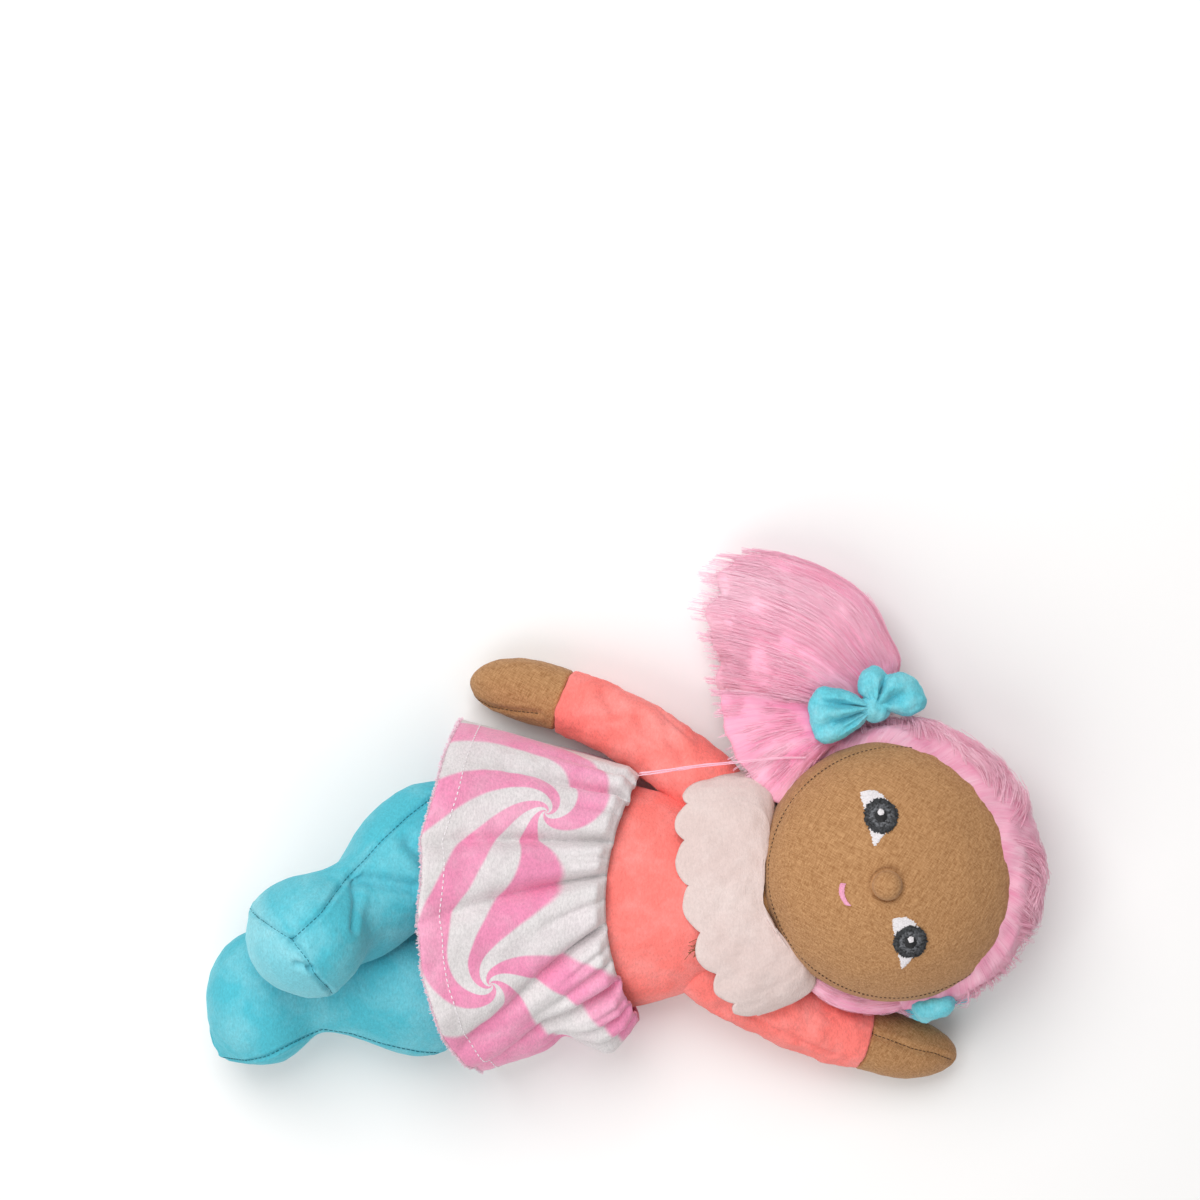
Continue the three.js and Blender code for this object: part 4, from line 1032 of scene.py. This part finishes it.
def headSurface(angles, grows, pole):
    # rings of the ellipsoid by angle from the front axis, closed at the pole (0 first ring, -1 last ring)
    side = np.array((0, 1, 0))
    right = np.cross(side, frontAxis)
    around = headLook["around"]
    turn = circle(around)
    verts = []
    for a, grow in zip(np.radians(angles), grows):
        ring = np.cos(a) * frontAxis + np.sin(a) * (np.cos(turn)[:, None] * right + np.sin(turn)[:, None] * side)
        scale = 1 / np.sqrt(((ring / (headHalf + grow)) ** 2).sum(1))
        verts.append(ring * scale[:, None])
    faces = gridFaces(len(verts), around)
    tip = len(verts) * around
    base = 0 if pole == 0 else tip - around
    faces += [(tip, base + j, base + (j + 1) % around) for j in range(around)]
    return np.concatenate(verts + [verts[pole].mean(0)[None]]), faces


faceLook = {"from": 0.8, "to": 90.5, "rings": 84, "rollFrom": 85.5, "rollOver": 5, "roll": 0.04}
faceAngles = np.linspace(faceLook["from"], faceLook["to"], faceLook["rings"])
faceVerts, faceFaces = headSurface(faceAngles, np.zeros(faceLook["rings"]), pole=0)
edgeAngle = np.degrees(np.arccos(np.clip((faceVerts @ frontAxis) / np.linalg.norm(faceVerts, axis=1), -1, 1)))
roll = np.clip((edgeAngle - faceLook["rollFrom"]) / faceLook["rollOver"], 0, 1) ** 2
faceVerts = faceVerts * (1 - faceLook["roll"] * roll)[:, None]
noseLook = {"place": (-5.8, -1.2), "radius": 5.6, "height": 5.4, "rings": 12, "around": 40}
fromNose = np.hypot(faceVerts[:, 0] - noseLook["place"][0], faceVerts[:, 1] - noseLook["place"][1])
onFront = faceVerts[:, 2] > 0
faceVerts[:, 2] -= np.where(onFront, 0.9 * np.exp(-((fromNose - noseLook["radius"] - 0.1) / 0.8) ** 2), 0)
face = outwards(meshOf("facePad", placedAt(faceVerts, headMatrix), faceFaces, brownCotton))
wrinkled(face, size=22, depth=0.5, seed=2)
carried(face, "head", "skin", ("face_panel", "head_stuffing"))

noseVerts = []
noseTurn = circle(noseLook["around"])
noseU, noseV = noseLook["place"]
for i in range(noseLook["rings"]):
    s = i / (noseLook["rings"] - 1)
    tucked = 1 - 0.1 * max(0, s - 0.85) / 0.15
    radius = noseLook["radius"] * math.sin(0.5 * math.pi * (0.06 + 0.94 * s)) * tucked
    height = noseLook["height"] * math.cos(0.5 * math.pi * s) ** 0.8 - 1.0 * max(0, s - 0.8) / 0.2
    noseVerts.append(onFace(noseU + radius * np.cos(noseTurn), noseV + radius * np.sin(noseTurn), height))
noseVerts = np.concatenate(noseVerts + [onFace(np.array([noseU]), np.array([noseV]), noseLook["height"])])
noseFaces = gridFaces(noseLook["rings"], noseLook["around"])
for j in range(noseLook["around"]):
    noseFaces.append((len(noseVerts) - 1, j, (j + 1) % noseLook["around"]))
nose = subdivided(outwards(meshOf("nosePad", noseVerts, noseFaces, brownCotton)))
carried(nose, "head", "skin", ("nose_pad",))

# embroidery: satin stitches, one thread beside the next
eyeLook = {
    "turn": -0.2, "spacing": 46.6, "lid": -7.2, "iris": 6.1, "ring": 4.1, "pupil": 2.2, "irisRise": -2.1,
    "pitch": 0.36, "thick": 0.25, "glint": (0.3, 1.2), "whiteAcross": [-9.4, -7.2, -4, 0, 4.5, 7.6, 9.3, 10],
    "whiteRise": [0.7, 3.6, 7.2, 9.6, 9.0, 7.4, 5.6, 2.4]}


def satin(name, ends, lift, material):
    # each stitch arches a little between its two ends
    lines = []
    for (u0, v0), (u1, v1) in ends:
        s = np.linspace(0, 1, 5)
        arch = lift + 0.22 * np.sin(np.pi * s)
        lines.append([
            onFace(np.array(u0 + (u1 - u0) * k), np.array(v0 + (v1 - v0) * k), h) for k, h in zip(s, arch)])
    return fromLines(name, lines, threadLines, {"Thickness": eyeLook["thick"] * mm, "Material": material})


rng = np.random.default_rng(7)


def ragged(size=0.35):
    return rng.uniform(-size, size)


def spokes(u, v, inner, outer, pitch):
    count = int(2 * math.pi * (inner + outer) / 2 / pitch)
    for i in range(count):
        a = 2 * math.pi * i / count
        r0, r1 = inner + ragged(0.3), outer + ragged(0.4)
        yield (u + r0 * math.cos(a), v + r0 * math.sin(a)), (u + r1 * math.cos(a), v + r1 * math.sin(a))


def barred(u, v, radius, pitch):
    for w in np.arange(-radius + pitch / 2, radius, pitch):
        half = math.sqrt(max(0.05, radius ** 2 - w ** 2)) + ragged(0.15)
        yield (u - half, v + w), (u + half, v + w)


for side in sides:
    v = eyeLook["turn"] + sideSign[side] * eyeLook["spacing"] / 2
    whites = []
    for w in np.arange(eyeLook["whiteAcross"][0], eyeLook["whiteAcross"][-1], eyeLook["pitch"]):
        top = eyeLook["lid"] + np.interp(w, eyeLook["whiteAcross"], eyeLook["whiteRise"])
        whites.append(((eyeLook["lid"] + ragged(0.3), v + w), (top + ragged(0.4), v + w)))
    u, pitch = eyeLook["irisRise"], eyeLook["pitch"]
    iris, ring, pupil = eyeLook["iris"], eyeLook["ring"], eyeLook["pupil"]
    glintU, glintV = u + eyeLook["glint"][0], v + eyeLook["glint"][1]
    for name, ends, lift, thread, slotName, node in (
            ("eyeWhite", whites, 0.1, "white", "white", "eye_white"),
            ("eyeIris", spokes(u, v, ring - 0.5, iris, pitch), 0.45, "slate", "grey", "eye_iris"),
            ("eyeRing", spokes(u, v, pupil - 0.4, ring, pitch), 0.6, "grey", "grey", None),
            ("eyePupil", barred(u, v, pupil, pitch), 0.85, "black", "black", "eye_pupil"),
            ("eyeGlint", barred(glintU, glintV, 1.05, pitch), 1.15, "white", "white", None)):
        piece = satin(f"{name}_{side}", ends, lift, threads[thread])
        carried(piece, "head", slotName, (f"{node}_{side}",) if node else ())

mouthLook = {"rise": -20.2, "turn": -1.4, "width": 8.0, "sag": 1.3, "thick": 1.7}
smile = []
for w in np.arange(-mouthLook["width"] / 2, mouthLook["width"] / 2 + 0.1, eyeLook["pitch"]):
    dip = mouthLook["rise"] - mouthLook["sag"] * (1 - (2 * w / mouthLook["width"]) ** 2)
    v = mouthLook["turn"] + w
    smile.append(((dip - mouthLook["thick"] + ragged(0.12), v + 0.3), (dip + ragged(0.12), v - 0.3)))
mouth = satin("mouthStitch", smile, lift=0.15, material=threads["rose"])
carried(mouth, "head", "rose", ("mouth_stitch",))

# topstitch round the chin side of the face
topLook = {"pitch": 1.65, "share": 0.45, "thick": 0.2, "inset": 0.945, "from": 62, "to": 296}
chinTurn = np.radians(np.linspace(topLook["from"], topLook["to"], 240))
chinU, chinV = topLook["inset"] * headHalf[0], topLook["inset"] * headHalf[1]
ringPoints = onFace(chinU * np.cos(chinTurn), chinV * np.sin(chinTurn), lift=0.1)
topStitch = stitchedLine("faceTopstitch", ringPoints, topLook, threads["seamBrown"])
carried(topStitch, "head", "skin")
print("face made")

# plush cap: backing cloth with a combed pile that runs towards the two ties
capLook = {
    "tucked": 81, "from": 85, "to": 179.2, "rings": 84, "combing": (0.3, 0.08), "slant": 0.22,
    "riseAt": [81, 85, 90, 100, 180], "rise": [-4, -0.4, 4.0, 5.6, 4.8]}
capAngles = np.linspace(capLook["from"], capLook["to"], capLook["rings"])
capAngles = np.concatenate([[capLook["tucked"]], capAngles])
capRise = np.interp(capAngles, capLook["riseAt"], capLook["rise"])
capVerts, capFaces = headSurface(capAngles, capRise, pole=-1)
cap = meshOf("hairCapBacking", placedAt(capVerts, headMatrix), capFaces, capPlush)
mapped(cap, "combing", headLook["around"], capLook["combing"], capLook["slant"])
toned(cap, [0.2 + 0.25 * noise.noise(Vector(p) / 9) for p in capVerts])
wrinkled(outwards(cap), size=8, depth=1.3, seed=9)
onGround(cap, height=0.4)
carried(cap, "head", "plush", ("hair_cap",))
hairLook = {
    "guides": 3900, "copies": 4, "steps": 7, "step": 2.1, "ties": [(-1, 59.5, -10), (6, -52, -26)], "swirl": 1.1,
    "depth": 1.5, "border": 1.6, "root": 1.6, "rise": 4.6, "edgeRise": 5.6, "edge": 12, "spread": 1.2,
    "curl": 3.6, "thick": 0.15}


def onScalp(p):
    return p / np.sqrt(((p / (headHalf + hairLook["depth"])) ** 2).sum())


noise.seed_set(8)  # the swirl below draws on this seed
rng = np.random.default_rng(12)
combed, combedTones = [], []
while len(combed) < hairLook["guides"]:
    p = rng.normal(0, 1, 3)
    p = onScalp(p / np.linalg.norm(p))
    edge = p @ frontAxis
    if edge > hairLook["border"] or p[2] + headLook["middle"][2] < 3:
        continue
    tie = np.array(hairLook["ties"][0 if p[1] > 4 else 1], float)
    swirl = np.array(noise.noise_vector(Vector(p) / 19))
    line, q = [], p.copy()
    byEdge = max(0.0, 1 + edge / hairLook["edge"]) if edge < 0 else 1.0
    lift = rng.uniform(0.3, 1.0) * (hairLook["rise"] + (hairLook["edgeRise"] - hairLook["rise"]) * byEdge)
    for k in range(hairLook["steps"]):
        normal = q / headHalf ** 2
        normal /= np.linalg.norm(normal)
        s = k / (hairLook["steps"] - 1)
        line.append(q + normal * (hairLook["root"] + lift * math.sin(0.5 * math.pi * min(1, 1.5 * s))))
        aim = (tie - q) / np.linalg.norm(tie - q) + hairLook["swirl"] * swirl - 0.5 * byEdge * frontAxis
        aim -= normal * (aim @ normal)
        q = onScalp(q + aim / np.linalg.norm(aim) * hairLook["step"])
        over = q @ frontAxis - hairLook["border"]
        if over > 0:
            q = q - frontAxis * over
    line = placedAt(np.array(line), headMatrix)
    line[:, 2] = np.maximum(line[:, 2], 1.0)
    combed.append(line)
    combedTones.append(0.16 + 0.3 * noise.noise(Vector(p) / 7))


def combedPile(name, lines, tones, look, seed, fibre=pinkPlush):
    return onGround(fromLines(name, lines, combedStrands, {
        "Copies": look["copies"], "Spread": look["spread"] * mm, "Curl": look["curl"] * mm,
        "Thickness": look["thick"] * mm, "Seed": seed, "Material": fibre}, tones), height=0.1)


carried(combedPile("capPile", combed, combedTones, hairLook, seed=2, fibre=woollyPlush), "head", "plush")
print("cap combed")


def alongPath(points, t):
    points = np.asarray(points, float)
    return np.stack([eased(points[:, k], t) for k in range(points.shape[1])], -1)


def fanFlat(look, w, t):
    t = t * (1 - look["uneven"] * (0.5 + 0.25 * np.sin(19 * w + 1) + 0.25 * np.sin(33 * w + 2)))
    across, along = w[..., None], t[..., None]
    tips = np.asarray(look["tips"], float)
    flat = mixed(alongPath(look["first"], t), alongPath(look["last"], t), across)
    return flat + along * (alongPath(tips, w) - mixed(tips[0], tips[-1], np.clip(across, 0, 1)))


def fanPoint(look, w, t, upper):
    # w runs across the fan, t along its fibres to the tips and past them,
    # upper from the top (1) to the underside (-1)
    w, t = np.broadcast_arrays(np.asarray(w, float), np.asarray(t, float))
    inside, tip = np.minimum(t, 1), np.ones_like(t)
    past = (10 * (t - inside))[..., None] * (fanFlat(look, w, tip) - fanFlat(look, w, 0.9 * tip))
    full = np.sqrt(np.maximum(0.0, 1 - np.abs(2 * w - 1) ** look["edge"]))
    full = full * np.sqrt(np.maximum(0.0, 1 - inside ** 5))
    height = look["height"] + look["drop"] * t + upper * full * eased(look["depths"], t) / 2
    return np.concatenate([fanFlat(look, w, inside) + past, np.maximum(height, 1.2)[..., None]], -1)


# tone rises from the roots to the tips, the deeper roots being painted shade where the hair bunches at the tie;
# the lumps are random tone
def fanTone(look, w, t):
    lumps = [noise.noise(Vector((6 * a, 2.5 * b, look["height"]))) for a, b in zip(w, t)]
    return look["tone"] + 0.4 * np.minimum(t, 1) + 0.3 * np.array(lumps)


fanGrid = {"rows": 40, "half": 70}


def hairFan(name, body, look, seed, replaced=()):
    # a soft core combed along the fan, with loose fibres over it
    rows, half = fanGrid["rows"], fanGrid["half"]
    across = np.linspace(0, 1, half)
    w = np.concatenate([across, across[-2:0:-1]])
    upper = np.concatenate([np.ones(half), -np.ones(half - 2)])
    around = len(w)
    stations = 1 - 0.98 * np.linspace(1, 0, rows) ** 1.4
    verts = np.concatenate([fanPoint(look, w, np.full(around, t), 0.97 * upper) for t in stations])
    faces = gridFaces(rows, around) + [tuple(range(around))]
    core = meshOf(f"{name}Core_{look['tag']}", verts, faces, plushBacking)
    mapped(core, "combing", around, look["combing"])
    toned(core, fanTone(look, np.tile(w, rows), np.repeat(stations, around)))
    onGround(wrinkled(outwards(core), size=9, depth=0.9, seed=seed), height=0.6)
    carried(core, body, "plush", replaced)
    lines, tones = [], []
    for number in range(look["guides"]):
        place, side = rng.uniform(0.02, 0.98), 1 if rng.uniform() < 0.65 else -1
        begin = rng.uniform(0.03, 0.75)
        finish = begin + rng.uniform(0.2, 0.5)
        if number % 4 == 0:  # fibres that leave the outline
            place = rng.choice((-1, 1)) * (0.5 + rng.uniform(-0.02, look["stray"])) + 0.5
        if number % 6 == 1:  # loose tips, gathered in wisps
            begin, finish = rng.uniform(0.65, 0.9), rng.uniform(0.97, 1.02)
            finish += 0.12 * max(0, noise.noise(Vector((9 * place, 3, 1))))
        steps = np.linspace(begin, min(finish, 1.08), look["points"])
        lift = np.linspace(0.97, rng.uniform(1.0, 1.06), look["points"])
        lines.append(fanPoint(look, place + rng.normal(0, 0.02) * (steps - begin), steps, side * lift))
        tones.append(fanTone(look, [place], np.array([0.5 * (begin + finish)]))[0])
    carried(combedPile(f"{name}Hair_{look['tag']}", lines, tones, look, seed), body, "plush")


# loose hair beside the cheeks: it falls from each tie between cheek, collar and sleeve,
# with one wisp over the right sleeve
lockLook = {
    "right": {
        "first": [(68, 68), (52, 73), (37, 76), (22, 77)],
        "last": [(68, 60), (61, 54), (55, 45), (49, 34)],
        "tips": [(22, 77), (23.5, 66), (27.5, 55), (33, 46), (40, 38), (49, 34)],
        # the right lock's tone is set lower: painted shade, for the shade it lies in between cheek and sleeve
        "height": 35, "drop": 5, "depths": [9, 15, 12, 9], "combing": (0.09, 0.05), "guides": 320, "tone": -0.1},
    "left": {
        "first": [(100, -31), (87, -33), (75, -32), (63, -26), (49, -15)],
        "last": [(100, -37), (88, -42.5), (76, -43), (64, -39.5), (51, -29)],
        "tips": [(49, -15), (48, -21), (51, -29)],
        "height": 33, "drop": 2, "depths": [8, 12, 12, 9], "combing": (0.05, 0.06), "guides": 160, "tone": 0.08}}
# the right lock hangs between the cheek and its ponytail
lockBody = {"right": ("head", "tail_right", (46, 48, 38), (40, 74, 36)), "left": "head"}
lockHair = {
    "copies": 4, "points": 9, "spread": 0.6, "curl": 1.8, "thick": 0.12, "stray": 0.03, "edge": 2.6,
    "uneven": 0.02}
wispLook = {
    **lockHair, "copies": 9, "curl": 1.6, "thick": 0.22, "from": (46, 53, 45), "to": (22, 50.5, 46),
    "line": [(54, 53, 45), (45, 53, 46), (37, 52.2, 46.5), (15, 50, 46), (-7.6, 46.7, 44)]}
for side in sides:
    hairFan("sideLock", lockBody[side], {**lockLook[side], **lockHair, "tag": side}, seed=15)
wisp = combedPile("looseWisp", [resampled(wispLook["line"], 4)], [0.4], wispLook, seed=5)
carried(wisp, ("torso", "head", wispLook["to"], wispLook["from"]), "plush")

# ponytails: each fans from its tie over a soft core
tailLook = {
    "right": {
        "tie": (-1, 59.5, -10), "heading": 113.8, "pitch": 15, "drop": -14, "depths": [9, 24, 34, 34, 28],
        "combing": (0.15, 0.08), "guides": 1100, "copies": 4, "points": 11, "tone": 0.1,
        "first": [
            (71, 71), (85, 78), (90, 88), (85.5, 98), (81, 107), (75, 114), (66, 120), (56, 124.5), (45, 128),
            (34, 129)],
        "last": [(71, 71), (58, 69.5), (46, 69), (35, 69), (25, 70)],
        "tips": [(34, 129), (26, 127), (20.5, 120), (17, 111), (17.5, 100), (20, 90), (22, 80), (25, 70)]},
    "left": {
        "tie": (6, -47.5, -31), "heading": 150, "pitch": 2, "drop": -1, "depths": [9, 14, 14, 13],
        "combing": (0.05, 0.04), "guides": 160, "copies": 4, "points": 9, "tone": 0.2,
        "first": [(0, 0), (-6, 12), (-9, 26), (-5, 38)],
        "last": [(0, 0), (6, 12), (9, 26), (5, 38)],
        "tips": [(-5, 38), (0, 42), (5, 38)]}}
tieLook = {"turns": 3, "radius": 5.6, "from": 0.5, "width": 1.8, "thick": 0.8}
tailHair = {"spread": 0.6, "curl": 2.0, "thick": 0.12, "stray": 0.03, "edge": 6, "uneven": 0.06}
for side in sides:
    look = {**tailLook[side], **tailHair, "tag": side}
    matrix = headMatrix @ headingMatrix(look["tie"], look["heading"], look["pitch"])
    look["height"] = (matrix @ Vector((3, 0, 0))).z
    if side == "left":
        for edge in ("first", "last", "tips"):
            look[edge] = [(matrix @ Vector((3 + along, across, 0)))[:2] for across, along in look[edge]]
    hairFan("ponytail", f"tail_{side}", look, seed=14, replaced=(f"ponytail_{side}",))
    share = np.linspace(0, 1, 90)
    turns = 2 * math.pi * tieLook["turns"] * share
    coil = np.stack([
        tieLook["from"] + tieLook["width"] * share, tieLook["radius"] * np.cos(turns),
        tieLook["radius"] * np.sin(turns)], 1)
    tie = fromLines(f"hairTie_{side}", [placedAt(coil, matrix)], threadLines, {
        "Thickness": tieLook["thick"] * mm, "Material": tieElastic})
    carried(tie, f"tail_{side}", "elastic", (f"hair_tie_{side}",))
print("ponytails combed")

# bows: puffed velour loops that fan from a wrapped knot, with pleats pressed in towards it
bowLook = {
    "knot": (5.8, 5.6, 5.0), "knotRings": 17, "knotAround": 48, "thick": 14, "rows": 34, "columns": 90,
    "right": {"place": (6.8, 60.9, 4.5), "turn": (0, 0, -13.2)},
    "left": {"place": (8, -52, -11), "turn": (90, 0, 90)},
    # outline of each loop by angle, then its pleats: angle, depth, width, and where it is deepest along the loop
    "upper": {"angles": [-18, -10, -4, 6, 21, 39, 54, 66, 72, 80, 92, 108, 124, 138],
              "reach": [11, 15.5, 18.2, 19.4, 19.2, 18.2, 16.4, 13.2, 12.8, 14.8, 15.6, 14.2, 11.8, 8],
              "pleats": [(72, 0.85, 6, 0.5, 0.5), (26, 0.75, 13, 0.42, 0.2), (112, 0.25, 8, 0.3, 0.4)]},
    "lower": {"angles": [146, 152, 157, 162, 173, 182, 195, 209, 215, 221, 226, 234],
              "reach": [10, 15.5, 19.6, 22.4, 24.2, 24.8, 24.8, 25.2, 23.6, 19.2, 14.5, 10],
              "pleats": [(174, 0.75, 5, 0.4, 0.45), (200, 0.8, 6, 0.4, 0.5), (215, 0.3, 5, 0.3, 0.3)]}}
for side in sides:
    spot = bowLook[side]
    rx, ry, rz = (math.radians(a) for a in spot["turn"])
    turnMatrix = Matrix.Rotation(rx, 4, "X") @ Matrix.Rotation(ry, 4, "Y") @ Matrix.Rotation(rz, 4, "Z")
    bowMatrix = headMatrix @ Matrix.Translation(spot["place"]) @ turnMatrix
    for end in ("upper", "lower"):
        form = bowLook[end]
        across = np.linspace(0, 1, bowLook["columns"])
        angles = mixed(form["angles"][0], form["angles"][-1], across)
        outline = np.interp(angles, form["angles"], form["reach"])
        outline[2:-2] = np.convolve(outline, np.array([1, 2, 3, 2, 1]) / 9, "valid")
        verts = []
        for s in 1 - 0.97 * np.linspace(1, 0, bowLook["rows"]) ** 1.5:
            puff = 0.5 + 0.5 * math.sin(0.5 * math.pi * min(1, s / 0.6))
            puff *= math.sqrt(max(0.0, 1 - (max(0.0, s - 0.55) / 0.45) ** 2.4))
            depth = bowLook["thick"] / 2 * puff * np.sqrt(np.maximum(0, 1 - np.abs(2 * across - 1) ** 3))
            pressed = np.ones_like(angles)
            for angle, deep, width, place, reach in form["pleats"]:
                pressed -= deep * np.exp(-((angles - angle) / width) ** 2) * math.exp(-((s - place) / reach) ** 2)
            x, y = (outline * s * turned(np.radians(angles)) for turned in (np.cos, np.sin))
            top = np.stack([x, y, depth * np.maximum(0.08, pressed)], 1)
            below = np.stack([x, y, -0.6 * depth], 1)
            verts += [top, below[-2:0:-1]]
        around = 2 * bowLook["columns"] - 2
        faces = gridFaces(bowLook["rows"], around) + [tuple(range(around))]
        verts = placedAt(np.concatenate(verts), bowMatrix)
        loop = outwards(meshOf(f"bowLoop_{end}_{side}", verts, faces, bowVelour))
        wrinkled(loop, size=5, depth=0.6, seed=17)
        carried(loop, "head", "turquoise", (f"bow_loop_{end}_{side}",))
    rings, around = bowLook["knotRings"], bowLook["knotAround"]
    ringTurn = circle(around)
    verts = []
    for a in math.pi * (np.arange(rings) / (rings - 1) - 0.5):
        flat = max(0.04, math.cos(a)) * (1 + 0.06 * np.cos(7 * ringTurn) * math.cos(a))
        ring = np.stack([flat * np.cos(ringTurn), math.sin(a) + 0 * ringTurn, flat * np.sin(ringTurn)], 1)
        verts.append(ring * bowLook["knot"])
    ends = [tuple(range(around)), tuple((rings - 1) * around + k for k in range(around))]
    faces = gridFaces(rings, around) + ends
    knot = outwards(meshOf(f"bowKnot_{side}", placedAt(np.concatenate(verts), bowMatrix), faces, bowVelour))
    wrinkled(knot, size=5, depth=0.5, seed=19)
    carried(knot, "head", "turquoise", (f"bow_knot_{side}",))
print("bows tied")
